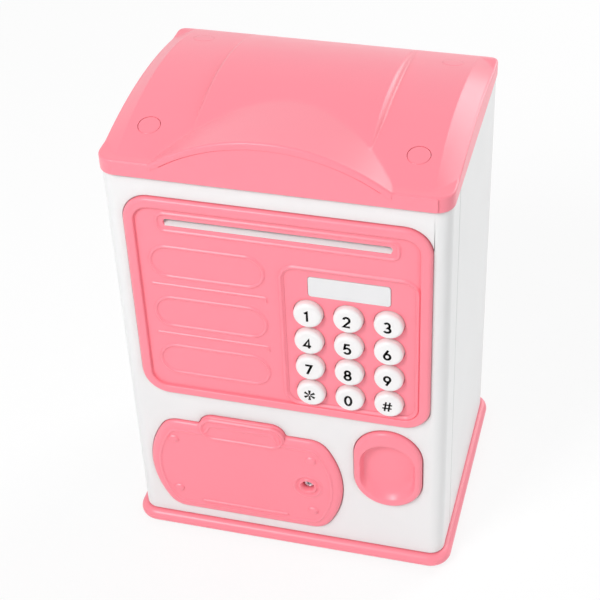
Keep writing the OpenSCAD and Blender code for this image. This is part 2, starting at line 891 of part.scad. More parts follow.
module display_lens() {
    color([0.85, 0.88, 0.9]) place() {
        front_plate(field_depth - panel_raise - 0.1, door_wall + eps)
            translate([lens_x, lens_z]) square([lens_w - fit_gap, lens_h - fit_gap], center = true);
        front_plate(door_wall, door_wall + 1)
            translate([lens_x, lens_z]) square([lens_w + 3, lens_h + 0.8], center = true);
    }
}

module display_module() {
    color(dark) place()
        block(lens_x - lens_w / 2, lens_x + lens_w / 2, door_wall + 1, board_y,
            lens_z - lens_h / 2, lens_z + lens_h / 2);
}

module keypad_mat() {
    half_x = key_pitch_x + key_d / 2 - 0.8;
    color(grey) place()
        block(key_x - half_x, key_x + half_x, mat_y, board_y,
            key_z - key_d / 2, key_z + 3 * key_pitch_z + key_d / 2);
}

module main_board() {
    color(green) place() difference() {
        block(board_x0, board_x1, board_y, board_y + board_t, board_z0, board_z1);
        for (p = board_holes) {
            y_rod(p[0], p[1], 2.2, board_y - 1, board_y + board_t + 1);
        }
    }
}

module board_screws() {
    color(steel) place() {
        for (p = board_holes) {
            y_rod(p[0], p[1], 4, board_y + board_t, board_y + board_t + 1.2);
            y_rod(p[0], p[1], 1.8, board_y - 2.6, board_y + board_t + eps);
        }
    }
}

module switch_board() {
    color(green) place() {
        block(button_x - 11, button_x + 11, cav_y1 - board_t, cav_y1, button_z - 11, button_z + 11);
        y_rod(button_x, button_z, 12, switch_y, cav_y1 - board_t + eps);
    }
}

module battery_tray() {
    z0 = batt_z - tray_h / 2;
    z1 = batt_z + tray_h / 2;
    color(white) place() difference() {
        union() {
            block(tray_x0, tray_x1, 0, cav_y1, z0, z1);
            y_rod(screw_x, batt_z, ear_d, cover_boss_t + 0.6, cav_y1);
            block(tray_x1 - eps, screw_x, cover_boss_t + 0.6, cav_y1, batt_z - 3, batt_z + 3);
        }
        block(tray_x0 + tray_wall, tray_x1 - tray_wall, -1, cell_y + cell_d / 2 + 0.2,
            z0 + tray_wall, z1 - tray_wall);
        y_rod(screw_x, batt_z, cover_thread_d + 2 * run_gap, 0, cover_shank + 1);
    }
}

module battery_cells() {
    color([0.2, 0.35, 0.25]) place() {
        for (i = [-1:1]) {
            x_rod(cell_y, batt_z + i * cell_pitch, cell_d, cell_x - cell_l / 2, cell_x + cell_l / 2 - 1);
            x_rod(cell_y, batt_z + i * cell_pitch, 3.8, cell_x, cell_x + cell_l / 2);
        }
    }
}

module battery_contacts() {
    color(steel) place() {
        for (s = [-1, 1], i = [-1:1]) {
            x = cell_x + s * (tray_l / 2 - tray_wall - contact_t / 2);
            block(x - contact_t / 2, x + contact_t / 2, cell_y - 4.4, cell_y + cell_d / 2 + 0.2,
                batt_z + i * cell_pitch - 4.2, batt_z + i * cell_pitch + 4.2);
        }
    }
}

module feeder_frame() {
    color(grey) place() difference() {
        union() {
            block(feed_x0 - plate_t, feed_x0, 3.4, cav_y1, motor_z - motor_d / 2 - 0.6, feed_top);
            block(feed_x1, feed_x1 + plate_t, 3.4, cav_y1, drive_z - 4, feed_top);
            block(feed_x0 - eps, feed_x1 + eps, roller_y, cav_y1, feed_top - feed_bar, feed_top);
        }
        for (x = [feed_x0 - plate_t - 1, feed_x1 - 1]) {
            x_rod(roller_y, drive_z, shaft_d + 2 * run_gap, x, x + plate_t + 2);
            x_rod(roller_y, pinch_z, pinch_shaft + 2 * run_gap, x, x + plate_t + 2);
        }
        x_rod(roller_y, motor_z, motor_shaft + 1.4, feed_x0 - plate_t - 1, feed_x0 + 1);
    }
}

module feed_motor() {
    color(steel) place() difference() {
        x_rod(roller_y, motor_z, motor_d, feed_x0, feed_x0 + motor_l);
        x_rod(roller_y, motor_z, motor_shaft + 2 * run_gap, feed_x0 - 1, feed_x0 + 4);
    }
}

module speaker() {
    color(dark) place() difference() {
        union() {
            y_rod(speaker_x, speaker_z, speaker_d, cav_y1 - 3, cav_y1);
            y_rod(speaker_x, speaker_z, magnet_d, cav_y1 - 6, cav_y1 - 3 + eps);
        }
        y_rod(speaker_x, speaker_z, speaker_d - 6, cav_y1 - 1.2, cav_y1 + 1);
    }
}

module solenoid_frame() {
    z0 = latch_z - frame_h / 2;
    z1 = latch_z + frame_h / 2;
    y1 = coil_y + coil_d / 2;
    color(steel) place() difference() {
        union() {
            block(coil_x0, coil_x1, door_d, door_d + frame_t, z0, z1);
            block(coil_x0, coil_x0 + frame_t, door_d, y1, z0, z1);
            block(coil_x1 - frame_t, coil_x1, door_d, y1, z0, z1);
        }
        x_rod(coil_y, latch_z, bolt_d + 2 * run_gap, coil_x1 - frame_t - 1, coil_x1 + 1);
    }
}

module solenoid_coil() {
    color(copper) place() difference() {
        x_rod(coil_y, latch_z, coil_d, coil_x0 + frame_t, coil_end);
        x_rod(coil_y, latch_z, bolt_d + 0.6, bolt_x0 - 1, coil_x1);
    }
}

module latch_bolt() {
    color(steel) place() {
        x_rod(coil_y, latch_z, bolt_d, bolt_x0, bolt_tip - 0.8);
        translate([bolt_tip - 0.8 - eps, coil_y, latch_z])
            rotate([0, 90, 0])
                cylinder(d1 = bolt_d, d2 = bolt_d - 1.6, h = 0.8 + eps);
        x_rod(coil_y, latch_z, collar_d, collar_x, collar_x + collar_t);
    }
}

module latch_spring() {
    color(steel) place() difference() {
        x_rod(coil_y, latch_z, bolt_d + 2.2, collar_x + collar_t, coil_x1 - frame_t);
        x_rod(coil_y, latch_z, bolt_d + 0.8, collar_x, coil_x1);
    }
}

// One key: cap with a round front edge, and two lugs that hold it behind the panel
module key_cap(row, col) {
    r = key_d / 2;
    len = front_reach + lug_y + lug_t;
    translate([key_x + (col - 1) * key_pitch_x, 0, key_z + row * key_pitch_z]) {
        translate([0, lug_y + lug_t, 0]) rotate([90, 0, 0]) rotate_extrude() {
            square([r - key_round, len]);
            square([r, len - key_round]);
            intersection() {
                translate([r - key_round, len - key_round]) circle(key_round);
                square([r + 1, len + 1]);
            }
        }
        block(-lug_w / 2, lug_w / 2, lug_y, lug_y + lug_t, -lug_h / 2, lug_h / 2);
    }
}

module key_star() {
    color(white) place() key_cap(0, 0);
}

module key_0() {
    color(white) place() key_cap(0, 1);
}

module key_hash() {
    color(white) place() key_cap(0, 2);
}

module key_7() {
    color(white) place() key_cap(1, 0);
}

module key_8() {
    color(white) place() key_cap(1, 1);
}

module key_9() {
    color(white) place() key_cap(1, 2);
}

module key_4() {
    color(white) place() key_cap(2, 0);
}

module key_5() {
    color(white) place() key_cap(2, 1);
}

module key_6() {
    color(white) place() key_cap(2, 2);
}

module key_1() {
    color(white) place() key_cap(3, 0);
}

module key_2() {
    color(white) place() key_cap(3, 1);
}

module key_3() {
    color(white) place() key_cap(3, 2);
}

module finger_button() {
    color(pink) place() difference() {
        union() {
            front_plate(-button_raise, door_wall + 0.2 + eps)
                translate([button_x, button_z]) stadium(button_w, button_h);
            front_plate(door_wall + 0.2, door_wall + 0.2 + flange_t)
                translate([button_x, button_z])
                    stadium(button_w + 2 * flange_lip, button_h + 2 * flange_lip);
            y_rod(button_x, button_z, stem_d, door_wall + flange_t, door_wall + 0.2 + flange_t + stem_l);
        }
        front_plate(-button_raise - 1, button_dish - button_raise)
            translate([button_x, button_z])
                stadium(button_w - 2 * button_rim, button_h - 2 * button_rim);
    }
}

module roller_shaft() {
    color(steel) place()
        x_rod(roller_y, drive_z, shaft_d, gear_x - gear_w - 0.2, feed_x1 + plate_t + 0.6);
}

module roller_tyres() {
    color(dark) place() difference() {
        union() {
            for (x = [-0.17, 0.14, 0.4]) {
                mid = slot_x + x * slot_w;
                x_rod(roller_y, drive_z, tyre_d, mid - tyre_w / 2, mid + tyre_w / 2);
            }
        }
        x_rod(roller_y, drive_z, shaft_d, feed_x0, feed_x1);
    }
}

// Flat gear drawing with a tooth along the first axis
module gear_shape(teeth) {
    r = gear_mod * teeth / 2;
    pitch = 3.14159 * gear_mod;
    root = r - 1.2 * gear_mod;
    circle(root);
    for (i = [0:teeth - 1]) {
        rotate(i * 360 / teeth) polygon([
            [root - 0.15, -0.26 * pitch], [r, -0.2 * pitch], [r + 0.9 * gear_mod, -0.09 * pitch],
            [r + 0.9 * gear_mod, 0.09 * pitch], [r, 0.2 * pitch], [root - 0.15, 0.26 * pitch]
        ]);
    }
}

module roller_gear() {
    color(white) place() side_bar(gear_x - gear_w, gear_x) translate([roller_y, drive_z]) difference() {
        rotate(-90) gear_shape(gear_teeth);
        circle(d = shaft_d);
    }
}

module motor_pinion() {
    color(white) place() {
        side_bar(gear_x - gear_w, gear_x)
            translate([roller_y, motor_z])
                rotate(90 + 180 / pinion_teeth) gear_shape(pinion_teeth);
        x_rod(roller_y, motor_z, motor_shaft, gear_x - eps, feed_x0 + 3.5);
    }
}

module pinch_roller() {
    color(dark) place() {
        x_rod(roller_y, pinch_z, pinch_d, feed_x0 + 1, feed_x1 - 1);
        x_rod(roller_y, pinch_z, pinch_shaft, feed_x0 - plate_t - 0.4, feed_x1 + plate_t + 0.4);
    }
}

module battery_cover() {
    pull_z = batt_z + batt_h / 2 - 0.9;
    color(pink) place() difference() {
        union() {
            front_plate(-batt_raise, 0) {
                batt_outline();
                translate([batt_x - 0.35, pull_z]) stadium(pull_w, pull_h);
            }
            y_rod(screw_x, batt_z, cover_boss_d, -eps, cover_boss_t);
        }
        y_rod(screw_x, batt_z, cover_head_d + 2 * press_gap, -batt_raise - 1, cover_head_y + cover_head_h);
        y_rod(screw_x, batt_z, cover_thread_d + 2 * run_gap, -batt_raise, cover_boss_t + 1);
    }
}

module cover_screw() {
    color(steel) place() {
        y_rod(screw_x, batt_z, cover_head_d, cover_head_y, cover_head_y + cover_head_h);
        y_rod(screw_x, batt_z, cover_thread_d, cover_head_y + cover_head_h - eps, cover_shank);
    }
}

base_tray();
feet();
base_screws();
body_shell();
roof_cap();
roof_screws();
screw_plugs();
hinge_pins();
strike_plate();
strike_screws();
coin_bezel();
door_shell();
door_back_cover();
back_cover_screws();
control_panel();
display_lens();
display_module();
keypad_mat();
main_board();
board_screws();
switch_board();
battery_tray();
battery_cells();
battery_contacts();
feeder_frame();
feed_motor();
speaker();
solenoid_frame();
solenoid_coil();
latch_spring();
key_1();
key_2();
key_3();
key_4();
key_5();
key_6();
key_7();
key_8();
key_9();
key_star();
key_0();
key_hash();
finger_button();
latch_bolt();
roller_shaft();
roller_tyres();
roller_gear();
pinch_roller();
motor_pinion();
battery_cover();
cover_screw();
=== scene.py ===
import json
import math

import bmesh
import bpy
from mathutils import Matrix, Vector


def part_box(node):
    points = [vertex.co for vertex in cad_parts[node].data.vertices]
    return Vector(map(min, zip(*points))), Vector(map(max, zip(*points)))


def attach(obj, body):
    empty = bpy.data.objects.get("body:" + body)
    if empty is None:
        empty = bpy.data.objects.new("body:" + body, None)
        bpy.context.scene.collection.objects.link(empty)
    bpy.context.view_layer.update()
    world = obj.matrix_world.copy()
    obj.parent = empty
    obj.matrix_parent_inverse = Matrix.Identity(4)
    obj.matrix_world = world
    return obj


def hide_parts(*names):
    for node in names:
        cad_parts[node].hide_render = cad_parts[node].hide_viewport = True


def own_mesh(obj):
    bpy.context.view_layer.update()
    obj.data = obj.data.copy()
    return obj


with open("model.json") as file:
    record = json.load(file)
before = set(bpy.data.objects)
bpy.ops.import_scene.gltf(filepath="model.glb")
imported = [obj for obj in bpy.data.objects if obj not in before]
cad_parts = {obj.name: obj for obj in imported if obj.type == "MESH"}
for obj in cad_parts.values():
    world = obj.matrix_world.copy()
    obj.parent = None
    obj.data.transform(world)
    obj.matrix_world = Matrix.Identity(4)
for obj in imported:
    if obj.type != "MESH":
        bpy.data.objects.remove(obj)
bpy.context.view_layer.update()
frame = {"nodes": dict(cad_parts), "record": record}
scene = bpy.context.scene
cadNodes = frame["nodes"]
mm = 0.001
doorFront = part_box("door_shell")[0].y  # sizes below are in mm, with y from here
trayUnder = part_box("base_tray")[0].z  # and z from here
materials = {}
replacedNodes = set()
print("frame loaded, nodes:", len(cadNodes))


# places and outlines

def at(x, y, z):
    return Vector((x * mm, doorFront + y * mm, trayUnder + z * mm))


def onFront(u, v, up):
    return at(u, -up, v)


def onBack(u, v, up):
    return at(u, up, v)


def cad(node):
    low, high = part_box(node)
    spec = {"x0": low.x / mm, "x1": high.x / mm}
    spec["y0"], spec["y1"] = (low.y - doorFront) / mm, (high.y - doorFront) / mm
    spec["z0"], spec["z1"] = (low.z - trayUnder) / mm, (high.z - trayUnder) / mm
    for axis in "xyz":
        spec["m" + axis] = (spec[axis + "0"] + spec[axis + "1"]) / 2
        spec["s" + axis] = spec[axis + "1"] - spec[axis + "0"]
    return spec


def oval(cx, cy, rx, ry, start, end, steps):
    turns = [math.radians(start + (end - start) * i / steps) for i in range(steps + 1)]
    return [(cx + rx * math.cos(a), cy + ry * math.sin(a)) for a in turns]


def arc(cx, cy, r, start, end, steps):
    return oval(cx, cy, r, r, start, end, steps)


def roundRect(cx, cy, w, h, r, steps=8):
    r = max(min(r, w / 2 - 0.002, h / 2 - 0.002), 0.004)
    points = []
    for k, (sx, sy) in enumerate(((1, 1), (-1, 1), (-1, -1), (1, -1))):
        points += arc(cx + sx * (w / 2 - r), cy + sy * (h / 2 - r), r, 90 * k, 90 * k + 90, steps)
    return points


def circle(cx, cy, d, steps=48):
    return arc(cx, cy, d / 2, 0, 360, steps)[:-1]


def shrink(points, d):  # moves an anticlockwise outline inwards
    count = len(points)
    moved = []
    for i, (x, y) in enumerate(points):
        ax, ay = points[i - 1]
        bx, by = points[(i + 1) % count]
        n1 = Vector((ay - y, x - ax)).normalized()
        n2 = Vector((y - by, bx - x)).normalized()
        n = (n1 + n2).normalized()
        k = d / max(n.dot(n1), 0.4)
        moved.append((x + n.x * k, y + n.y * k))
    return moved


# mesh helpers

def ring(bm, points):
    return [bm.verts.new(p) for p in points]


def skin(bm, lower, upper, skip=()):
    count = len(lower)
    for i in range(count):
        if i not in skip:
            j = (i + 1) % count
            bm.faces.new((lower[i], lower[j], upper[j], upper[i]))


def loft(bm, rings, skip=()):
    made = [ring(bm, r) for r in rings]
    for lower, upper in zip(made, made[1:]):
        skin(bm, lower, upper, skip)
    return made


def cap(bm, *loops):
    for loop in loops:
        bm.faces.new(loop)


def fillHoles(bm, outer, holes, facing):
    edges = []
    for loop in [outer] + holes:
        for a, b in zip(loop, loop[1:] + loop[:1]):
            edges.append(bm.edges.get((a, b)) or bm.edges.new((a, b)))
    bmesh.ops.triangle_fill(bm, use_beauty=True, use_dissolve=False, edges=edges, normal=facing)


def rectRings(bm, place, cx, cy, w, h, r, profile, steps=8):
    return loft(bm, [[place(u, v, up) for u, v in roundRect(cx, cy, w - 2 * d, h - 2 * d, r - d, steps)]
                     for d, up in profile])


def outlineRings(bm, place, points, profile):
    return loft(bm, [[place(u, v, up) for u, v in shrink(points, d)] for d, up in profile])


def roundRings(bm, place, cx, cy, profile, steps=48):  # profile of radius and height
    return loft(bm, [[place(u, v, up) for u, v in circle(cx, cy, 2 * r, steps)] for r, up in profile])


def roundEdge(r, top, steps=5):  # profile of an outer edge that rolls over to a flat top
    turns = [math.pi / 2 * i / steps for i in range(steps + 1)]
    return [(r - r * math.cos(a), top - r + r * math.sin(a)) for a in turns]


def lathe(bm, place, cx, cy, profile, steps=48):
    rings = roundRings(bm, place, cx, cy, profile, steps)
    cap(bm, rings[0], rings[-1])


def brick(bm, x0, x1, y0, y1, z0, z1, r=0.3):
    profile = [(r, z0), (r * 0.3, z0 + r * 0.3), (0, z0 + r), (0, z1 - r), (r * 0.3, z1 - r * 0.3), (r, z1)]
    rings = rectRings(bm, at, (x0 + x1) / 2, (y0 + y1) / 2, x1 - x0, y1 - y0, r, profile, 3)
    cap(bm, rings[0], rings[-1])


sunk = 0.03  # raised lines and bars start this far under their surface


def ridge(bm, place, cx, cy, w, h, r, base, spec):  # thin raised line that follows a round rectangle
    half, rise = spec["width"] / 2, spec["height"] + sunk
    profile = [(half * k / 6, base - sunk + rise * (0.5 + 0.5 * math.cos(math.pi * k / 6)))
               for k in range(-6, 7)]
    rectRings(bm, place, cx, cy, w, h, r, profile, 10)


def bar(bm, place, cx, cy, w, h, base, spec):  # low bar whose edges rise softly over the given run
    run, rise = spec["run"], spec["height"] + sunk
    profile = [(run * k / 6, base - sunk + rise * math.sin(math.pi * k / 12) ** 2) for k in range(7)]
    rings = rectRings(bm, place, cx, cy, w, h, min(w, h) / 2, profile, 6)
    cap(bm, rings[-1])


def addObject(name, data):
    obj = bpy.data.objects.new(name, data)
    scene.collection.objects.link(obj)
    return obj


def meshObject(name, bm):
    mesh = bpy.data.meshes.new(name)
    bm.to_mesh(mesh)
    bm.free()
    return addObject(name, mesh)


def makePiece(name, bm, body, slotName, replaced=(), sharp=38):
    bmesh.ops.recalc_face_normals(bm, faces=bm.faces)
    obj = meshObject(name, bm)
    obj.data.shade_smooth()
    obj.data.set_sharp_from_angle(angle=math.radians(sharp))
    obj.data.materials.append(materials[slotName])
    evenNormals = obj.modifiers.new("evenNormals", "WEIGHTED_NORMAL")
    evenNormals.keep_sharp = True
    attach(obj, body)
    if replaced:
        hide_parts(*replaced)
        replacedNodes.update(replaced)
    return obj


# shared material effects

socketKinds = {1: "NodeSocketFloat", 3: "NodeSocketVector", 4: "NodeSocketColor"}  # by count of numbers


def newGroup(name, inputs, metal=False):
    group = bpy.data.node_groups.new(name, "ShaderNodeTree")
    for label, value in inputs.items():
        kind = socketKinds[len(value) if isinstance(value, tuple) else 1]
        group.interface.new_socket(label, in_out="INPUT", socket_type=kind).default_value = value
    for label, count in [("colour", 4), ("roughness", 1)] + [("metal", 1)] * metal + [("normal", 3)]:
        group.interface.new_socket(label, in_out="OUTPUT", socket_type=socketKinds[count])
    return group, group.nodes.new("NodeGroupInput").outputs, group.nodes.new("NodeGroupOutput").inputs


def feed(tree, socket, value):  # an output is linked to the socket, a value is set on it
    if isinstance(value, bpy.types.NodeSocket):
        tree.links.new(value, socket)
    else:
        socket.default_value = value


def addNode(tree, kind, **settings):
    made = tree.nodes.new(kind)
    for key, value in settings.items():
        if key in made.inputs:
            feed(tree, made.inputs[key], value)
        else:
            setattr(made, key, value)
    return made


def addMath(tree, operation, a, b):
    made = addNode(tree, "ShaderNodeMath", operation=operation)
    feed(tree, made.inputs[0], a)
    feed(tree, made.inputs[1], b)
    return made.outputs[0]


def scaled(tree, value, amount, start):
    return addMath(tree, "ADD", addMath(tree, "MULTIPLY", value, amount), start)


def objectCoords(group):
    return addNode(group, "ShaderNodeTexCoord").outputs["Object"]


def addNoise(group, coords, scale, detail):
    return addNode(group, "ShaderNodeTexNoise", Vector=coords, Scale=scale, Detail=detail).outputs["Fac"]


def mixTints(group, factor, first, second):
    mix = addNode(group, "ShaderNodeMix", data_type="RGBA", Factor=factor, A=first, B=second)
    return mix.outputs["Result"]


def finishGroup(group, out, colour, roughness, height, strength, distance=0.0001):
    bump = addNode(group, "ShaderNodeBump", Distance=distance, Strength=strength, Height=height)
    feed(group, out["colour"], colour)
    feed(group, out["roughness"], roughness)
    feed(group, out["normal"], bump.outputs["Normal"])
    return group


def makeMoulded():  # moulded plastic: slow colour drift, painted shade (the deep colour) in corners, creases and gaps from an occlusion mask, fine grain, uneven gloss
    group, given, out = newGroup("mouldedSkinAndPaintedShade", {
        "tint": (0.8, 0.8, 0.8, 1), "deep": (0.7, 0.7, 0.7, 1), "drift": 0.03, "gloss": 0.4, "uneven": 0.08,
        "grain": 0.05, "reach": 0.004})
    coords = objectCoords(group)
    slow = addNoise(group, coords, 38.0, 2.0)
    fine = addNoise(group, coords, 2600.0, 3.0)
    smear = addNoise(group, coords, 160.0, 4.0)
    # occlusion mask within reach: mixes in the deep colour as painted shade where corners and gaps are shaded
    paintedShadeAO = addNode(group, "ShaderNodeAmbientOcclusion", samples=6, Distance=given["reach"])
    paintedShadeCurve = addMath(group, "POWER", paintedShadeAO.outputs["AO"], 1.4)
    shade = mixTints(group, paintedShadeCurve, given["deep"], given["tint"])
    level = scaled(group, addMath(group, "SUBTRACT", slow, 0.5), given["drift"], 1.0)
    vary = addNode(group, "ShaderNodeHueSaturation", Color=shade, Value=level)
    rough = scaled(group, addMath(group, "SUBTRACT", smear, 0.5), given["uneven"], given["gloss"])
    return finishGroup(group, out, vary.outputs["Color"], rough, fine, given["grain"])


def makeMetal():  # drawn or turned metal: streaks along one axis, dull patches
    group, given, out = newGroup("drawnMetal", {
        "tint": (0.6, 0.6, 0.6, 1), "stain": (0.3, 0.3, 0.3, 1), "gloss": 0.3,
        "streak": (60.0, 2400.0, 2400.0)})
    coords = objectCoords(group)
    stretch = addNode(group, "ShaderNodeVectorMath", operation="MULTIPLY")
    feed(group, stretch.inputs[0], coords)
    feed(group, stretch.inputs[1], given["streak"])
    lines = addNoise(group, stretch.outputs["Vector"], 1.0, 3.0)
    patch = addNoise(group, coords, 260.0, 4.0)
    spread = addNode(group, "ShaderNodeMapRange", Value=patch, **{"From Min": 0.45, "From Max": 0.75})
    worn = addMath(group, "MULTIPLY", spread.outputs["Result"], 0.5)
    colour = mixTints(group, worn, given["tint"], given["stain"])
    return finishGroup(group, out, colour, scaled(group, lines, 0.25, given["gloss"]), lines, 0.12)


def makeWound():  # lacquered wire wound turn beside turn
    group, given, out = newGroup("woundWire", {
        "tint": (0.6, 0.3, 0.1, 1), "gapTint": (0.2, 0.08, 0.03, 1), "turns": 785.0})
    wave = addNode(group, "ShaderNodeTexWave", bands_direction="X", Vector=objectCoords(group),
                   Scale=given["turns"], Distortion=0.4, Detail=1.0)
    wire = wave.outputs["Fac"]
    rough = addMath(group, "SUBTRACT", 0.5, addMath(group, "MULTIPLY", wire, 0.25))
    colour = mixTints(group, wire, given["gapTint"], given["tint"])
    return finishGroup(group, out, colour, rough, wire, 0.8, 0.0002)


def makeSleeve():  # cell: sleeve with one pale band, bare metal at both ends
    group, given, out = newGroup("cellSleeve", {
        "tint": (0.1, 0.3, 0.2, 1), "band": (0.7, 0.7, 0.6, 1), "bare": (0.6, 0.6, 0.6, 1),
        "start": 0.0, "end": 1.0}, metal=True)
    coords = objectCoords(group)
    axes = addNode(group, "ShaderNodeSeparateXYZ", Vector=coords)
    share = addNode(group, "ShaderNodeMapRange", Value=axes.outputs["X"],
                    **{"From Min": given["start"], "From Max": given["end"]})
    along = share.outputs["Result"]
    nearEnd = addMath(group, "LESS_THAN", along, 0.02)
    ends = addMath(group, "MAXIMUM", nearEnd, addMath(group, "GREATER_THAN", along, 0.955))
    pastBand = addMath(group, "GREATER_THAN", along, 0.72)
    stripe = addMath(group, "MULTIPLY", pastBand, addMath(group, "LESS_THAN", along, 0.9))
    printed = mixTints(group, stripe, given["tint"], given["band"])
    feed(group, out["metal"], ends)
    smear = addNoise(group, coords, 240.0, 4.0)
    colour = mixTints(group, ends, printed, given["bare"])
    return finishGroup(group, out, colour, scaled(group, smear, 0.15, 0.2), smear, 0.1)


def makeEtched():  # circuit board: paler tracks under the lacquer, small solder spots
    group, given, out = newGroup("etchedBoard", {
        "tint": (0.02, 0.12, 0.06, 1), "track": (0.05, 0.25, 0.1, 1), "solder": (0.5, 0.5, 0.48, 1)})
    axes = addNode(group, "ShaderNodeSeparateXYZ", Vector=objectCoords(group))
    flat = addNode(group, "ShaderNodeCombineXYZ", X=axes.outputs["X"], Y=axes.outputs["Z"]).outputs[0]
    tracks = addNode(group, "ShaderNodeTexBrick", Vector=flat, Scale=150.0, **{
        "Mortar Size": 0.035, "Mortar Smooth": 0.2, "Brick Width": 0.9, "Row Height": 0.3})
    track = tracks.outputs["Fac"]
    spots = addNode(group, "ShaderNodeTexVoronoi", Vector=flat, Scale=230.0)
    spot = addMath(group, "LESS_THAN", spots.outputs["Distance"], 0.16)
    lines = mixTints(group, track, given["tint"], given["track"])
    colour = mixTints(group, spot, lines, given["solder"])
    rough = addMath(group, "SUBTRACT", 0.4, addMath(group, "MULTIPLY", spot, 0.12))
    return finishGroup(group, out, colour, rough, addMath(group, "MAXIMUM", track, spot), 0.4)


mouldedSkinAndPaintedShade = makeMoulded()
drawnMetal = makeMetal()
woundWire = makeWound()
cellSleeve = makeSleeve()
etchedBoard = makeEtched()


# finishes; each plastic's deep colour is painted shade in its corners and gaps

def newMaterial(slotName, group, values, **shader):
    material = bpy.data.materials.new(slotName)
    material.use_nodes = True
    tree = material.node_tree
    principled = tree.nodes["Principled BSDF"]
    for key, value in shader.items():
        principled.inputs[key].default_value = value
    effect = addNode(tree, "ShaderNodeGroup", node_tree=group)
    for key, value in values.items():
        effect.inputs[key].default_value = value + (1,) if isinstance(value, tuple) else value
    targets = {"colour": "Base Color", "roughness": "Roughness", "normal": "Normal", "metal": "Metallic"}
    for label, target in targets.items():
        if label in effect.outputs:
            tree.links.new(effect.outputs[label], principled.inputs[target])
    material.diffuse_color = values["tint"] + (1,)
    materials[slotName] = material


# deep: colour of the painted shade in corners, creases and gaps; reach: how far that painted shade spreads
def plastic(slotName, tint, deep, gloss, grain, drift=0.04, reach=0.004, **shader):
    values = {"tint": tint, "deep": deep, "gloss": gloss, "grain": grain, "drift": drift, "reach": reach}
    newMaterial(slotName, mouldedSkinAndPaintedShade, values, **shader)


# the second colour of each plastic is its painted shade in corners and gaps, pinkish painted shade on the
# white keys
plastic("pink_plastic", (0.98, 0.268, 0.335), (0.94, 0.19, 0.24), 0.31, 0.05, reach=0.0018,
        **{"Specular IOR Level": 0.4})
plastic("white_plastic", (0.831, 0.835, 0.837), (0.655, 0.655, 0.657), 0.42, 0.06)
plastic("key_plastic", (0.88, 0.875, 0.875), (0.84, 0.76, 0.76), 0.3, 0.03)
plastic("lens", (0.785, 0.79, 0.8), (0.6, 0.6, 0.61), 0.16, 0.01)
plastic("dark_rubber", (0.022, 0.022, 0.024), (0.012, 0.012, 0.013), 0.7, 0.25, drift=0.3)
plastic("grey_rubber", (0.2, 0.2, 0.21), (0.12, 0.12, 0.13), 0.62, 0.2, drift=0.15)
plastic("dark_plastic", (0.03, 0.03, 0.033), (0.018, 0.018, 0.02), 0.45, 0.12, drift=0.2)
plastic("grey_plastic", (0.3, 0.31, 0.32), (0.2, 0.2, 0.21), 0.45, 0.1, drift=0.1)
newMaterial("board", etchedBoard, {"tint": (0.015, 0.11, 0.05), "track": (0.03, 0.2, 0.09)})
newMaterial("winding", woundWire, {"tint": (0.58, 0.22, 0.07), "gapTint": (0.18, 0.05, 0.02)}, Metallic=0.6)
cells = cad("battery_cells")
newMaterial("cell_sleeve", cellSleeve, {
    "tint": (0.04, 0.15, 0.08), "band": (0.62, 0.6, 0.5), "bare": (0.6, 0.6, 0.61),
    "start": cells["x0"] * mm, "end": cells["x1"] * mm})
plastic("ink", (0.012, 0.011, 0.012), (0.012, 0.011, 0.012), 0.4, 0.05, drift=0.2)
newMaterial("steel", drawnMetal, {"tint": (0.62, 0.63, 0.65), "stain": (0.42, 0.41, 0.4), "gloss": 0.2},
            Metallic=1.0)
print("materials:", len(materials))


# base tray: a rounded bead around a shallow tray

base = cad("base_tray")
baseSpec = {
    "cornerR": 8.3, "ledge": 4.74, "top": 4.8, "stepIn": 5.0, "stepR": 3.5,
    "bead": ((2.1, 2.4), (2.1, 0.25), (1.9, 0.05), (1.5, 0.0), (1.0, 0.06), (0.6, 0.3), (0.28, 0.7),
             (0.08, 1.2), (0.0, 1.8), (0.06, 2.4), (0.25, 3.0), (0.55, 3.5), (0.95, 3.95), (1.4, 4.3),
             (1.85, 4.52), (2.3, 4.66), (2.8, 4.72), (3.6, 4.74))}  # inset and height


def buildBase():
    s = baseSpec
    bm = bmesh.new()
    rings = rectRings(bm, at, base["mx"], base["my"], base["sx"], base["sy"], s["cornerR"], s["bead"], 14)
    wide, deep = base["sx"] - 2 * s["stepIn"], base["sy"] - 2 * s["stepIn"]
    shelf = [(0, s["ledge"]), (0, s["top"])]
    step = rectRings(bm, at, base["mx"], base["my"], wide, deep, s["stepR"], shelf, 14)
    skin(bm, rings[-1], step[0])
    cap(bm, rings[0], step[-1])
    makePiece("baseTray", bm, "case", "pink_plastic", ["base_tray"])


buildBase()

feet = cad("feet")
footSpec = {"d": 10.0, "edge": 0.7}


def buildFeet():
    bm = bmesh.new()
    r, e, under = footSpec["d"] / 2, footSpec["edge"], feet["z0"]
    profile = [(r - e - 1.2, under + 0.3), (r - e - 0.6, under), (r - e, under),
               (r - e * 0.3, under + e * 0.3), (r, under + e), (r, feet["z1"])]
    for x in (feet["x0"] + r, feet["x1"] - r):
        for y in (feet["y0"] + r, feet["y1"] - r):
            lathe(bm, at, x, y, profile)
    makePiece("rubberFeet", bm, "case", "dark_rubber", ["feet"])


buildFeet()


# box body: three walls, deck and corner posts

walls = {"halfW": 61.0, "back": 95.0, "front": 17.2, "wall": 2.2, "cornerR": 5.5, "z0": 4.8, "top": 167.3,
         "edge": 0.45, "deck": 2.2, "postIn": 3.3, "postFront": 8.8, "postBack": 3.5}
coin = cad("coin_bezel")
coinSpec = {"x": coin["mx"], "z": 146.0, "w": 3.2, "l": 30.0, "edge": 0.9, "pad": 0.6}


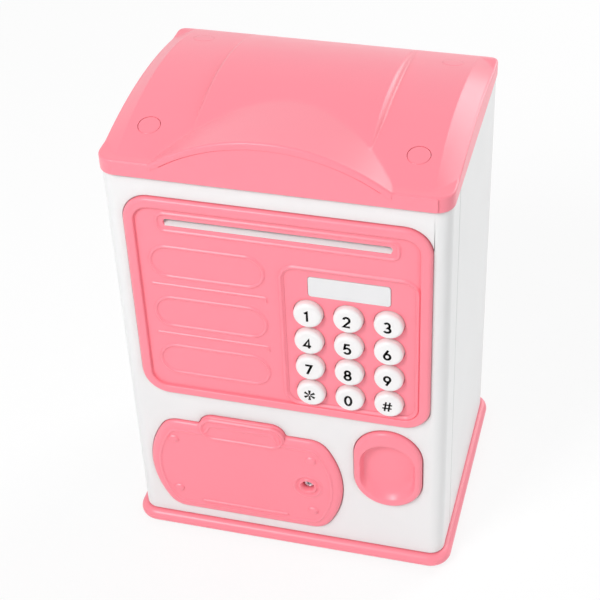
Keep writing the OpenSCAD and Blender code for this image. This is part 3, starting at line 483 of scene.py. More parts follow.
def wallOutline(spec):
    w, b, f, t, r, e = (spec[k] for k in ("halfW", "back", "front", "wall", "cornerR", "edge"))
    points = arc(w - e, f + e, e, -90, 0, 3) + arc(w - r, b - r, r, 0, 90, 10)
    backOuter = len(points) - 1
    points += arc(-w + r, b - r, r, 90, 180, 10) + arc(-w + e, f + e, e, 180, 270, 3)
    points += [(-w + t, f)] + arc(-w + r, b - r, r - t, 180, 90, 8)
    backInner = len(points) - 1
    points += arc(w - r, b - r, r - t, 90, 0, 8) + [(w - t, f)]
    return points, backOuter, backInner


def coinHole(bm, grow, r, heights, steps=14):  # larger than the coin slot by the given amount
    profile = [(0, y) for y in heights]
    wide, tall = coinSpec["w"] + grow, coinSpec["l"] + grow
    return rectRings(bm, onBack, coinSpec["x"], coinSpec["z"], wide, tall, r, profile, steps)


def buildBody():
    bm = bmesh.new()
    points, backOuter, backInner = wallOutline(walls)
    z0, z1, t, back = walls["z0"], walls["top"], walls["wall"], walls["back"]
    rings = loft(bm, [[at(u, v, up) for u, v in points] for up in (z0, z1)], skip=(backOuter, backInner))
    lips = coinHole(bm, 2.6, 5, (back, back - t), 12)
    for seg, lip, facing in ((backOuter, lips[0], (0, 1, 0)), (backInner, lips[1], (0, -1, 0))):
        quad = [rings[0][seg], rings[0][seg + 1], rings[1][seg + 1], rings[1][seg]]
        fillHoles(bm, quad, [lip], facing)
    cap(bm, rings[0], rings[1])
    w = walls["halfW"] - t
    brick(bm, -w - 0.1, w + 0.1, walls["front"], back - t + 0.1, z1 - walls["deck"], z1 + walls["deck"])
    post = [(4.2, z0), (4.0, z0 + 1), (3.9, z0 + 15.4), (3.5, z0 + 16)]
    for s in (-1, 1):
        for y in (walls["front"] + walls["postFront"], back - t - walls["postBack"]):
            lathe(bm, at, s * (w - walls["postIn"]), y, post)
    makePiece("boxBody", bm, "case", "white_plastic", ["body_shell"])


buildBody()


# roof: rim, arch, sloped ends, centre band and gable vault as one smooth skin

roofSpec = {
    "halfX": 61.5, "y0": -1.4, "y1": 95.5, "z0": 167.3, "rim": 173.3, "cornerR": 6.5, "edge": 0.9,
    "archX": 54.4, "archCrest": 181.4, "archR": 125.7, "endX": 61.0, "endHalf": 35.4, "endRise": 3.4,
    "bandHalf": 30.5, "bandCrest": 183.9, "bandR": 92.0, "bandMid": 49.0,
    "bandSlope": 2.2, "bandRound": 1.0, "bandLead": 0.4,
    "vaultR": 70.4, "vaultCrest": 187.0, "vaultFall": 0.127, "vaultEnd": 36.0, "vaultTail": 0.8,
    "archBlend": 0.2, "bandBlend": 0.2, "vaultBlend": 0.4, "blendReach": 4,
    "backDrop": 1.6, "backRun": 5.0, "lipHalf": 41.7, "lipFront": 0.5, "lipThick": 2.7, "sharp": 50}
plugSpec = {"x": 46.9, "d": 7.8, "deep": 2.2,
            "seams": ((16.1, 0.13), (78.0, 0.03))}  # distance from the front and width of each seam


def smoothMax(a, b, k):
    return (a + b + math.sqrt((a - b) ** 2 + k * k)) / 2


def bow(crest, r, offset):
    inside = r * r - offset * offset
    return crest - r + math.sqrt(inside) if inside > 0 else crest - r


def sideFall(out):  # round edge of the centre band, then a straight slope
    slope, r = roofSpec["bandSlope"], roofSpec["bandRound"]
    out = max(0.0, out)
    return out * out / (2 * r) if out < slope * r else slope * out - slope * slope * r / 2


def roofTop(x, y):
    s = roofSpec
    ax = abs(x)
    mid = (s["y0"] + s["y1"]) / 2
    arch = bow(s["archCrest"], s["archR"], y - mid)
    endR = (s["endHalf"] ** 2 + s["endRise"] ** 2) / (2 * s["endRise"])
    end = bow(s["rim"] + s["endRise"], endR, y - mid)
    share = max(0.0, (ax - s["archX"]) / (s["endX"] - s["archX"]))
    z = smoothMax(s["rim"], arch + (end - arch) * share, s["archBlend"])
    band = bow(s["bandCrest"], s["bandR"], y - s["bandMid"]) - sideFall(ax - s["bandHalf"] + s["bandLead"])
    if band > z - s["blendReach"]:
        z = smoothMax(z, band, s["bandBlend"])
    vault = bow(s["vaultCrest"] - s["vaultFall"] * (y - s["y0"] + s["lipFront"]), s["vaultR"], x)
    vault -= max(0.0, y - s["vaultEnd"]) * s["vaultTail"]
    if vault > z - s["blendReach"]:
        z = smoothMax(z, vault, s["vaultBlend"])
    back = max(0.0, 1 - (s["y1"] - s["edge"] - y) / s["backRun"])
    return z - s["backDrop"] * back * back


def lipMask(x):
    t = min(max(roofSpec["lipHalf"] + 0.5 - abs(x), 0.0), 1.0)
    return t * t * (3 - 2 * t)


def roofColumns():  # finer where the surface turns
    s = roofSpec
    w = s["halfX"] - s["edge"]
    marks = [0.0]
    while marks[-1] < w - 0.01:
        x = marks[-1]
        near = min(abs(x - s["bandHalf"]), abs(x - s["archX"]), abs(x - s["lipHalf"]))
        step = 0.2 if near < 1.2 else 0.35 if near < 2.5 else 0.9
        if x > w - 6.5:
            step = 0.35
        if x > w - 1.2:
            step = 0.15
        marks.append(min(x + step, w))
    return [-m for m in reversed(marks[1:])] + marks


def roofRows():
    marks = [0.0]
    while marks[-1] < 96:
        marks.append(marks[-1] + (0.3 if marks[-1] < 8 or marks[-1] > 87 else 0.8))
    return [m / marks[-1] for m in marks]


def roofGrid(bm):  # upper skin, and its border: vertex, outward direction, share of the lip
    s = roofSpec
    e, r = s["edge"], s["cornerR"] - s["edge"]
    xs = roofColumns()
    rows = roofRows()
    grid, fronts, backs = [], [], []
    for x in xs:
        over = max(0.0, abs(x) - (s["halfX"] - e - r))
        deep = math.sqrt(max(r * r - over * over, 0.0))
        ya = s["y0"] - s["lipFront"] * lipMask(x) + e + r - deep
        yb = s["y1"] - e - (r - deep)
        ys = [ya + (yb - ya) * m for m in rows]
        column = [bm.verts.new(at(x, y, roofTop(x, y))) for y in ys]
        grid.append(column)
        aside = math.copysign(over, x)
        fronts.append((column[0], Vector((aside, -deep)).normalized(), lipMask(x)))
        backs.append((column[-1], Vector((aside, deep)).normalized(), 0.0))
    for a, b in zip(grid, grid[1:]):
        for j in range(len(rows) - 1):
            bm.faces.new((a[j], b[j], b[j + 1], a[j + 1]))
    right = [(v, Vector((1, 0)), 0.0) for v in grid[-1][1:-1]]
    left = [(v, Vector((-1, 0)), 0.0) for v in reversed(grid[0][1:-1])]
    return fronts + right + backs[::-1] + left


def buildRoof():
    s = roofSpec
    bm = bmesh.new()
    e, front, drop = s["edge"], s["lipFront"], s["lipThick"] - s["edge"]
    border = []
    for v, n, lip in roofGrid(bm):
        x, y, z = v.co.x / mm, (v.co.y - doorFront) / mm, (v.co.z - trayUnder) / mm
        fall = (roofTop(x - n.x * 0.05, y - n.y * 0.05) - roofTop(x, y)) / 0.05
        border.append((v, x, y, z, n, lip, math.atan(min(max(fall, 0.0), 2.5))))
    last = [b[0] for b in border]

    def nextRing(side):  # side gives the way out and the height from the edge's height, lip share and lean
        points = []
        for v, x, y, z, n, lip, lean in border:
            out, height = side(z, lip, lean)
            points.append(at(x + n.x * out, y + n.y * out, height))
        made = ring(bm, points)
        skin(bm, last, made)
        return made

    def rolled(k):
        def side(z, lip, lean):
            turn = lean + (math.pi / 2 - lean) * k / 6
            out = e * (math.sin(turn) - math.sin(lean)) / (1 - math.sin(lean))
            return out, z - e * (math.cos(lean) - math.cos(turn))
        return side

    def underLip(inset, short, beside):
        return lambda z, lip, lean: (e - inset * lip, z - e - (drop - short) * lip - beside * (1 - lip))

    def rimFoot(inset, rise):
        return lambda z, lip, lean: (e - front * lip - inset, s["z0"] + rise)

    for k in range(1, 7):
        last = nextRing(rolled(k))
    for step in ((0.0, 0.3, 0.05), (0.12, 0.06, 0.1), (front, 0.0, 0.15)):
        last = nextRing(underLip(*step))
    for step in ((0.0, 0.4), (0.12, 0.12), (0.4, 0.0), (1.5, 0.0), (1.5, 3.4)):
        last = nextRing(rimFoot(*step))
    cap(bm, last)
    cutPlugHoles(makePiece("roofCap", bm, "case", "pink_plastic", ["roof_cap"], sharp=s["sharp"]))


def plugPlaces():
    return [(sx * plugSpec["x"], y, seam) for sx in (-1, 1) for y, seam in plugSpec["seams"]]


def cutPlugHoles(obj):
    cutter = bmesh.new()
    for x, y, seam in plugPlaces():
        r, z = plugSpec["d"] / 2 + seam, roofTop(x, y)
        lathe(cutter, at, x, y, [(r, z - plugSpec["deep"] - 0.2), (r, z + 3)], 64)
    bmesh.ops.recalc_face_normals(cutter, faces=cutter.faces)
    holes = meshObject("plugHoles", cutter)
    cut = obj.modifiers.new("plugHoles", "BOOLEAN")
    cut.object = holes
    cut.solver = "EXACT"
    obj.modifiers.move(obj.modifiers.find("plugHoles"), 0)
    depsgraph = bpy.context.evaluated_depsgraph_get()
    obj.modifiers["evenNormals"].show_viewport = False
    depsgraph.update()
    cutMesh = bpy.data.meshes.new_from_object(obj.evaluated_get(depsgraph))
    obj.modifiers["evenNormals"].show_viewport = True
    obj.modifiers.remove(obj.modifiers["plugHoles"])
    obj.data = cutMesh
    cutMesh.set_sharp_from_angle(angle=math.radians(roofSpec["sharp"]))
    bpy.data.objects.remove(holes)


buildRoof()


def buildPlugs():
    bm = bmesh.new()
    r = plugSpec["d"] / 2
    for x, y, seam in plugPlaces():
        profile = [(r, plugSpec["deep"]), (r, 2 * seam), (r - seam * 0.6, seam * 0.7), (r - 2 * seam, 0.0)]
        profile += [(r * 0.7, 0.0), (r * 0.35, 0.0), (0.05, 0.0)]  # radius and depth under the roof's skin
        made = loft(bm, [[at(u, v, roofTop(u, v) - drop) for u, v in circle(x, y, 2 * radius, 56)]
                         for radius, drop in profile])
        cap(bm, made[0], made[-1])
    makePiece("roofPlugs", bm, "case", "pink_plastic", ["screw_plugs"])


buildPlugs()

fasciaSpec = {"x0": -55.5, "x1": 56.8, "z0": 167.6, "z1": 173.0, "r": 0.8, "arcR": 69.0, "arcCrest": 184.2,
              "raise": 0.3}


def buildFascia():
    s = fasciaSpec
    bm = bmesh.new()
    r, mid = s["r"], s["arcCrest"] - s["arcR"]
    foot = math.sqrt(s["arcR"] ** 2 - (s["z1"] - mid) ** 2)
    xs = [foot - 2 * foot * i / 60 for i in range(61)]
    top = [(x, mid + math.sqrt(s["arcR"] ** 2 - x * x)) for x in xs]
    points = arc(s["x0"] + r, s["z0"] + r, r, 180, 270, 4) + arc(s["x1"] - r, s["z0"] + r, r, 270, 360, 4)
    points += arc(s["x1"] - r, s["z1"] - r, r, 0, 90, 4) + top + arc(s["x0"] + r, s["z1"] - r, r, 90, 180, 4)
    face = -roofSpec["y0"]
    profile = [(0, face - 0.3), (0, face + 0.06), (0.1, face + 0.2), (0.35, face + s["raise"])]
    rings = outlineRings(bm, onFront, points, profile)
    cap(bm, rings[-1], rings[0])
    makePiece("gableFascia", bm, "case", "pink_plastic")


buildFascia()
print("roof done")


# coin slot bezel on the back

def buildBezel():
    bm = bmesh.new()
    back, top, deep, e, pad = walls["back"], coin["y1"], coin["y0"], coinSpec["edge"], coinSpec["pad"]
    profile = [(0, back + pad - 0.05)] + roundEdge(e, top)
    outer = rectRings(bm, onBack, coin["mx"], coin["mz"], coin["sx"], coin["sz"], coin["sx"] / 2, profile, 14)
    lip = [(-0.5, top), (-0.2, top - 0.06), (0, top - 0.3), (0, deep)]
    wide, tall = coinSpec["w"], coinSpec["l"]
    inner = rectRings(bm, onBack, coinSpec["x"], coinSpec["z"], wide, tall, wide / 2, lip, 14)
    fillHoles(bm, outer[-1], [inner[0]], (0, 1, 0))
    under = coinHole(bm, 2.4, 4, (back + pad - 0.05, deep))
    fillHoles(bm, outer[0], [under[0]], (0, -1, 0))
    fillHoles(bm, under[1], [inner[-1]], (0, -1, 0))
    z0, z1 = coin["z0"], walls["top"] - 0.4
    seat = rectRings(bm, onBack, coin["mx"], (z0 + z1) / 2, coin["sx"], z1 - z0, coin["sx"] / 2,
                     [(0.1, back), (0.1, back + pad)], 14)
    hole = coinHole(bm, 2.3, 4, (back, back + pad))
    fillHoles(bm, seat[0], [hole[0]], (0, -1, 0))
    fillHoles(bm, seat[1], [hole[1]], (0, 1, 0))
    makePiece("coinBezel", bm, "case", "pink_plastic", ["coin_bezel"])


buildBezel()


# door

door = cad("door_shell")
cover = cad("battery_cover")
button = cad("finger_button")
lens = cad("display_lens")
tray = cad("battery_tray")
backCover = cad("door_back_cover")
screw = cad("cover_screw")
doorSpec = {"halfW": door["x1"], "deep": door["sy"], "cornerR": 5.5, "hingeR": 3.4, "wall": 2.2, "edge": 0.5,
            "pocket": 1.1, "gap": 0.16, "under": 0.4}
panelSpec = {"x": 0.9, "z": 115.0, "w": 109.0, "h": 88.8, "r": 10.0, "raise": 1.75, "edge": 1.5,
             "border": 3.9, "field": 0.6, "seat": 0.6, "seatGap": 0.32}
slotSpec = {"x": 1.3, "z": 149.6, "w": 80.6, "h": 2.8, "r": 1.3, "tongue": 1.7}
keyNames = ["star", "0", "hash", "7", "8", "9", "4", "5", "6", "1", "2", "3"]
keys = {name: cad("key_" + name) for name in keyNames}
keySpec = {"d": 10.8, "gap": 0.16, "round": 1.5, "taper": 0.1, "front": -keys["5"]["y0"]}
buttonSpec = {
    "x": 39.9, "z": 47.8, "w": 26.0, "h": 37.5, "front": 1.9, "edge": 1.6, "gap": 0.22, "flange": 1.2,
    "dish": ((21.4, 28.4, -1.3, 0.0), (21.1, 28.0, -1.3, 0.06), (20.8, 27.4, -1.3, 0.3),
             (20.5, 26.8, -1.2, 0.75), (20.1, 26.0, -1.05, 1.35), (19.7, 25.1, -0.85, 2.0),
             (19.2, 24.0, -0.6, 2.6), (18.3, 22.7, -0.35, 3.05), (16.6, 20.7, -0.1, 3.32),
             (13.5, 17.4, 0.1, 3.45), (7.0, 10.0, 0.2, 3.5))}  # width, height, shift up, depth
coverSpec = {
    "x": -16.1, "z": 33.2, "w": 76.7, "h": 46.0, "sideR": 36.0, "cornerR": 8.0, "raise": 1.9,
    "roll": (2.6, 1.7), "tabW": 34.0, "tabH": 11.4, "tabX": -16.45, "tabZ": 55.3, "tabFillet": 1.3,
    "screwX": 8.8, "seatY": screw["y0"] + 1.4, "headD": 4.4, "boreD": 2.7, "bossD": 9.2,
    "bossGap": 0.3, "trayGap": 4.6,
    "tabLine": {"width": 1.9, "height": 0.62}, "dimple": {"w": 4.8, "h": 3.8, "height": 0.7, "run": 0.9},
    "dimples": ((-44.1, 47.6), (-44.0, 21.2), (10.5, 47.2), (10.6, 20.4)),
    "grip": {"x": -17.1, "z": 16.0, "w": 36.0, "h": 1.9, "height": 0.58, "run": 0.9}}
lensSpec = {"x": 26.4, "z": 129.75, "w": 29.5, "h": 8.7, "r": 1.2, "front": 0.62}


def coverOutline():
    s = coverSpec
    cx, cz, half, sideR, r = s["x"], s["z"], s["h"] / 2, s["sideR"], s["cornerR"]
    low, high = cz - half, cz + half
    shift = s["w"] / 2 - sideR
    dx = math.sqrt((sideR - r) ** 2 - (half - r) ** 2)
    turn = math.degrees(math.atan2(half - r, dx))
    right, left = cx + shift, cx - shift
    points = arc(right + dx, low + r, r, 270, 360 - turn, 6) + arc(right, cz, sideR, -turn, turn, 30)[1:]
    points += arc(right + dx, high - r, r, turn, 90, 6)[1:]
    f, tabR = s["tabFillet"], s["tabH"] / 2
    rise = high + f - s["tabZ"]
    fx = math.sqrt((tabR + f) ** 2 - rise ** 2)
    lean = math.degrees(math.atan2(rise, fx))
    end = s["tabW"] / 2 - tabR
    points += arc(s["tabX"] + end + fx, high + f, f, 270, 180 + lean, 6)
    points += arc(s["tabX"] + end, s["tabZ"], tabR, lean, 90, 10)[1:]
    points += arc(s["tabX"] - end, s["tabZ"], tabR, 90, 180 - lean, 10)
    points += arc(s["tabX"] - end - fx, high + f, f, -lean, -90, 6)[1:]
    points += arc(left - dx, high - r, r, 90, 180 - turn, 6)
    points += arc(left, cz, sideR, 180 - turn, 180 + turn, 30)[1:]
    points += arc(left - dx, low + r, r, 180 + turn, 270, 6)[1:]
    return points


def doorOutline(d):
    s = doorSpec
    w, r, h, e = s["halfW"], s["cornerR"], s["hingeR"], s["edge"]
    points = arc(-w + r, r, r - d, 180, 270, 10)
    front = len(points) - 1
    points += arc(w - r, r, r - d, 270, 360, 10) + arc(w - e, s["deep"] - e, max(e - d, 0.02), 0, 90, 3)
    back = len(points) - 1
    points += arc(-w + h, s["deep"] - h, h - d, 90, 180, 8)
    return points, front, back


def specRect(spec, steps=8):
    return roundRect(spec["x"], spec["z"], spec["w"], spec["h"], spec["r"], steps)


def specRings(bm, spec, profile, steps=8):
    return rectRings(bm, onFront, spec["x"], spec["z"], spec["w"], spec["h"], spec["r"], profile, steps)


def buildDoor():
    s, ps, bs, cs = doorSpec, panelSpec, buttonSpec, coverSpec
    bm = bmesh.new()
    z0, z1, e, wall = door["z0"] - s["under"], door["z1"], s["edge"], s["wall"]
    front, back = doorOutline(0)[1:]
    levels = [(e, z0), (e * 0.3, z0 + e * 0.3), (0, z0 + e), (0, z1 - e), (e * 0.3, z1 - e * 0.3), (e, z1)]
    made = [ring(bm, [at(u, v, up) for u, v in doorOutline(d)[0]]) for d, up in levels]
    for i, (lower, upper) in enumerate(zip(made, made[1:])):
        skin(bm, lower, upper, skip=(front, back) if i == 2 else ())
    cap(bm, made[0], made[-1])
    inner = []

    def face(side):
        return [made[2][side], made[2][side + 1], made[3][side + 1], made[3][side]]

    def hole(points, edge=0.15, start=0.0):
        rings = outlineRings(bm, onFront, points, [(-edge, start), (0, start - edge), (0, -wall)])
        inner.append(rings[-1])
        return rings[0]

    gap = ps["seatGap"]
    seat = rectRings(bm, onFront, ps["x"], ps["z"], ps["w"] + 2 * gap, ps["h"] + 2 * gap, ps["r"] + gap,
                     [(-0.1, 0), (0, -0.1), (0, -ps["seat"])], 12)
    under = [hole(specRect(slotSpec), 0.25, -ps["seat"]), hole(specRect(lensSpec), 0.15, -ps["seat"])]
    for k in keys.values():
        under.append(hole(circle(k["mx"], k["mz"], keySpec["d"] + 0.6, 40), 0.15, -ps["seat"]))
    fillHoles(bm, seat[-1], under, (0, -1, 0))
    buttonHole = roundRect(bs["x"], bs["z"], bs["w"] + 2 * bs["gap"], bs["h"] + 2 * bs["gap"], 13.2, 14)
    holes = [seat[0], hole(buttonHole, 0.2)]
    rim = [(-0.2, 0), (0, -0.2), (0, -s["pocket"])]
    pocket = outlineRings(bm, onFront, shrink(coverOutline(), -s["gap"]), rim)
    holes.append(pocket[0])
    floor = [(0, -s["pocket"]), (0, -wall)]
    trayEnd = cs["screwX"] - cs["trayGap"]
    trayHole = rectRings(bm, onFront, (tray["x0"] + trayEnd) / 2, cs["z"], trayEnd - tray["x0"] + 0.4,
                         tray["sz"] + 0.4, 0.6, floor)
    bossD = cs["bossD"] + 2 * cs["bossGap"]
    boss = outlineRings(bm, onFront, circle(cs["screwX"], cs["z"], bossD, 40), floor)
    fillHoles(bm, pocket[-1], [trayHole[0], boss[0]], (0, -1, 0))
    inner += [trayHole[1], boss[1]]
    fillHoles(bm, face(front), holes, (0, -1, 0))
    room = roundRect(backCover["mx"], backCover["mz"], backCover["sx"] + 0.4, backCover["sz"] + 0.4, 0.3, 2)
    cavity = loft(bm, [[onBack(u, v, y) for u, v in room] for y in (s["deep"], wall)])
    fillHoles(bm, face(back), [cavity[0]], (0, 1, 0))
    fillHoles(bm, cavity[1], inner, (0, 1, 0))
    half, low, f = slotSpec["w"] / 2 - 0.06, slotSpec["z"] - slotSpec["h"] / 2 + 0.04, -ps["field"]
    ramp = [(f + 0.12, 0.0), (f + 0.04, 0.1), (f + 0.2, 0.2), (wall, slotSpec["tongue"]), (wall, 0.0)]
    sides = (slotSpec["x"] - half, slotSpec["x"] + half)
    ends = loft(bm, [[at(x, y, low + z) for y, z in ramp] for x in sides])
    cap(bm, ends[0], ends[1])
    makePiece("doorShell", bm, "door", "white_plastic", ["door_shell"])


buildDoor()


# control panel: border, sunk field, sunk keypad area, raised lines

lineSpec = {"width": 1.9, "height": 0.53}
padSpec = {"x": 26.45, "z": 106.175, "w": 48.1, "h": 61.85, "r": 5.0, "floor": 0.4,
           "width": 2.2, "height": 0.72}
tabSpec = {"x": -24.6, "w": 41.3, "h": 12.9, "zs": (87.8, 110.1, 132.6)}
ribSpec = {"x": -24.6, "w": 42.9, "zs": (122.2, 99.8), "thick": 1.5, "height": 0.42, "run": 0.7, "hook": 3.1}


def buildPanel():
    s, p, slot = panelSpec, padSpec, slotSpec
    bm = bmesh.new()
    f, b, top, floor = s["field"], s["border"], s["raise"], p["floor"]
    low = 0.03 - s["seat"]
    profile = [(0, low)] + roundEdge(s["edge"], top, 7)
    profile += [(b - 0.7, top), (b - 0.35, top - 0.05), (b - 0.1, top - 0.22), (b + 0.02, top - 0.5),
                (b + 0.12, f - 0.02), (b + 0.3, f - 0.1), (b + 0.5, f - 0.07), (b + 0.65, f)]
    rings = specRings(bm, s, profile, 12)
    step = [(0, f), (0.2, f - 0.03), (0.4, (f + floor) / 2), (0.6, floor + 0.03), (0.8, floor)]
    pad = specRings(bm, p, step, 10)
    ridge(bm, onFront, p["x"], p["z"], p["w"] + 0.6, p["h"] + 0.6, p["r"] + 0.3, f - 0.05, p)
    slotLip = specRings(bm, slot, [(-0.45, f), (-0.15, f - 0.07), (0, f - 0.3), (0, low)], 10)
    fillHoles(bm, rings[-1], [pad[0], slotLip[0]], (0, -1, 0))
    well = [(-0.1, floor), (0, floor - 0.08), (0, low)]
    wellD = keySpec["d"] + 2 * keySpec["gap"]
    wells = [outlineRings(bm, onFront, circle(k["mx"], k["mz"], wellD, 40), well) for k in keys.values()]
    wells.append(specRings(bm, lensSpec, well))
    fillHoles(bm, pad[-1], [w[0] for w in wells], (0, -1, 0))
    fillHoles(bm, rings[0], [slotLip[-1]] + [w[-1] for w in wells], (0, 1, 0))
    for z in tabSpec["zs"]:
        ridge(bm, onFront, tabSpec["x"], z, tabSpec["w"], tabSpec["h"], 7, f, lineSpec)
    hookX = ribSpec["x"] + ribSpec["w"] / 2 - 0.4
    for z in ribSpec["zs"]:
        bar(bm, onFront, ribSpec["x"], z, ribSpec["w"], ribSpec["thick"], f, ribSpec)
        bar(bm, onFront, hookX, z - 1.0, ribSpec["thick"], ribSpec["hook"], f, ribSpec)
    ridge(bm, onFront, slot["x"], slot["z"], slot["w"] + 4.6, slot["h"] + 4.4, 2.6, f, lineSpec)
    makePiece("controlPanel", bm, "door", "pink_plastic", ["control_panel"])


buildPanel()


def buildLens():
    s = lensSpec
    bm = bmesh.new()
    profile = [(0, -2.2)] + roundEdge(0.3, s["front"], 3)
    rings = rectRings(bm, onFront, s["x"], s["z"], s["w"] - 0.2, s["h"] - 0.2, s["r"], profile)
    cap(bm, rings[0], rings[-1])
    brick(bm, lens["x0"], lens["x1"], 2.2, lens["y1"], lens["z0"], lens["z1"], 0.2)
    makePiece("displayLens", bm, "door", "lens", ["display_lens"])


buildLens()


# keys with printed figures

def buildKey(name):
    k = keys[name]
    bm = bmesh.new()
    r, rd, front = keySpec["d"] / 2, keySpec["round"], keySpec["front"]
    slim = r - keySpec["taper"]
    profile = [(r, -k["y1"]), (r, 0.1)] + [(slim - d, up) for d, up in roundEdge(rd, front, 9)]
    profile += [(1.2, front), (0.02, front)]
    lathe(bm, onFront, k["mx"], k["mz"], profile, 56)
    brick(bm, k["x0"], k["x1"], k["y1"] - 1.0, k["y1"], k["mz"] - 2, k["mz"] + 2, 0.2)
    makePiece("keyCap" + name.capitalize(), bm, "key_" + name, "key_plastic", ["key_" + name])


figureSpec = {"height": 5.0, "wide": 0.94, "shift": -0.25, "stroke": 0.86, "hashShare": 0.72,
              "ink": 0.02, "thick": 0.03}
figureLines = {  # centre lines in a box that is 1 high
    "1": [[(-0.14, 0.76), (0.06, 0.91), (0.06, 0.09)]],
    "2": [oval(0, 0.66, 0.23, 0.25, 165, -28, 22) + [(-0.23, 0.09), (0.26, 0.09)]],
    "3": [oval(-0.01, 0.69, 0.2, 0.22, 150, -80, 22) + oval(0, 0.29, 0.24, 0.2, 80, -155, 24)],
    "4": [[(0.12, 0.09), (0.12, 0.88), (-0.26, 0.29), (0.29, 0.29)]],
    "5": [[(0.22, 0.91), (-0.13, 0.91), (-0.2, 0.52)] + oval(0, 0.34, 0.24, 0.25, 128, -150, 26)],
    "6": [[(0.08, 0.92), (-0.17, 0.5)], oval(0, 0.33, 0.23, 0.24, 0, 360, 30)],
    "7": [[(-0.24, 0.91), (0.25, 0.91), (-0.1, 0.09)]],
    "8": [oval(0, 0.7, 0.19, 0.2, 0, 360, 28), oval(0, 0.29, 0.23, 0.21, 0, 360, 28)],
    "9": [oval(0, 0.67, 0.23, 0.24, 0, 360, 30), [(-0.08, 0.08), (0.17, 0.5)]],
    "0": [oval(0, 0.5, 0.24, 0.41, 0, 360, 36)],
    "hash": [[(-0.38, 0.34), (0.34, 0.34)], [(-0.34, 0.66), (0.38, 0.66)],
             [(-0.22, 0.06), (-0.09, 0.94)], [(0.09, 0.06), (0.22, 0.94)]],
    "star": [[arc(0, 0.5, r, a, a, 1)[0] for r in (0.07, 0.46)] for a in range(30, 390, 60)]}


def buildFigure(name):
    k = keys[name]
    bm = bmesh.new()
    size, half = figureSpec["height"], figureSpec["stroke"] / 2
    cx, front = k["mx"] + figureSpec["shift"], keySpec["front"] + figureSpec["ink"]
    if name == "hash":
        half *= figureSpec["hashShare"]
    for path in figureLines[name]:
        closed = len(path) > 4 and math.dist(path[0], path[-1]) < 0.001
        line = path[:-1] if closed else path
        points = [Vector((x * size * figureSpec["wide"], (y - 0.5) * size)) for x, y in line]
        count = len(points)
        left, right = [], []
        for i, p in enumerate(points):
            before = points[i - 1] if closed or i else p
            after = points[(i + 1) % count] if closed or i < count - 1 else p
            d1 = (p - before).normalized() if (p - before).length else (after - p).normalized()
            d2 = (after - p).normalized() if (after - p).length else d1
            n1, n2 = Vector((-d1.y, d1.x)), Vector((-d2.y, d2.x))
            n = (n1 + n2).normalized()
            reach = half / max(n.dot(n1), 0.55)
            if name == "star":
                reach = half * (0.5 if i == 0 else 1.2)
            left.append(p + n * reach)
            right.append(p - n * reach)
        sides = [ring(bm, [onFront(cx + q.x, k["mz"] + q.y, front) for q in side]) for side in (left, right)]
        for i in range(count if closed else count - 1):
            j = (i + 1) % count
            bm.faces.new((sides[0][i], sides[0][j], sides[1][j], sides[1][i]))
    bmesh.ops.solidify(bm, geom=bm.faces[:], thickness=figureSpec["thick"] * mm)
    makePiece("figure" + name.capitalize(), bm, "key_" + name, "ink")


materials["ink"].name = "printInk"
for name in keyNames:
    buildKey(name)
print("keys done")


# battery cover, its screw and the finger button

def buildCover():
    s = coverSpec
    bm = bmesh.new()
    top, seat, end = s["raise"], -s["seatY"], -cover["y1"]
    run, drop = s["roll"]
    turns = [math.pi / 2 * i / 9 for i in range(10)]
    profile = [(0, -0.9)] + [(run * (1 - math.cos(t)), top - drop + drop * math.sin(t)) for t in turns]
    profile += [(3.0 + 0.25 * k, top + 0.45 * math.sin(math.pi * k / 7) ** 2) for k in range(8)]
    rings = outlineRings(bm, onFront, coverOutline(), profile)
    rims = [(12.2, 0.0), (11.8, 0.05), (11.2, 0.27), (10.7, 0.42), (10.2, 0.42), (9.7, 0.25), (9.1, -0.05),
            (8.5, -0.22), (8.0, -0.22), (7.6, -0.12), (7.1, 0.15), (6.7, 0.36), (6.3, 0.42), (5.8, 0.36),
            (5.3, 0.08), (4.9, -0.35), (4.6, -0.8), (s["headD"], -1.1)]  # diameter, height over the plate
    steps = [(d, top + up) for d, up in rims]
    steps += [(s["headD"], seat), (s["boreD"], seat), (s["boreD"], end), (s["bossD"], end),
              (s["bossD"], -0.9)]
    sink = roundRings(bm, onFront, s["screwX"], s["z"], [(d / 2, up) for d, up in steps])
    fillHoles(bm, rings[-1], [sink[0]], (0, -1, 0))
    fillHoles(bm, rings[0], [sink[-1]], (0, 1, 0))
    level = top - 0.02
    ridge(bm, onFront, s["tabX"], s["tabZ"], s["tabW"] - 2.0, s["tabH"] - 2.2, 5, level, s["tabLine"])
    for x, z in s["dimples"]:
        bar(bm, onFront, x, z, s["dimple"]["w"], s["dimple"]["h"], level, s["dimple"])
    grip = s["grip"]
    bar(bm, onFront, grip["x"], grip["z"], grip["w"], grip["h"], level, grip)
    makePiece("batteryCover", bm, "battery_cover", "pink_plastic", ["battery_cover"])


buildCover()

screwSpec = {"lift": 2.7, "shankR": 1.3, "armWide": 0.6, "armLong": 1.3, "deep": 1.0, "narrow": 0.3,
             "turn": 25.0}


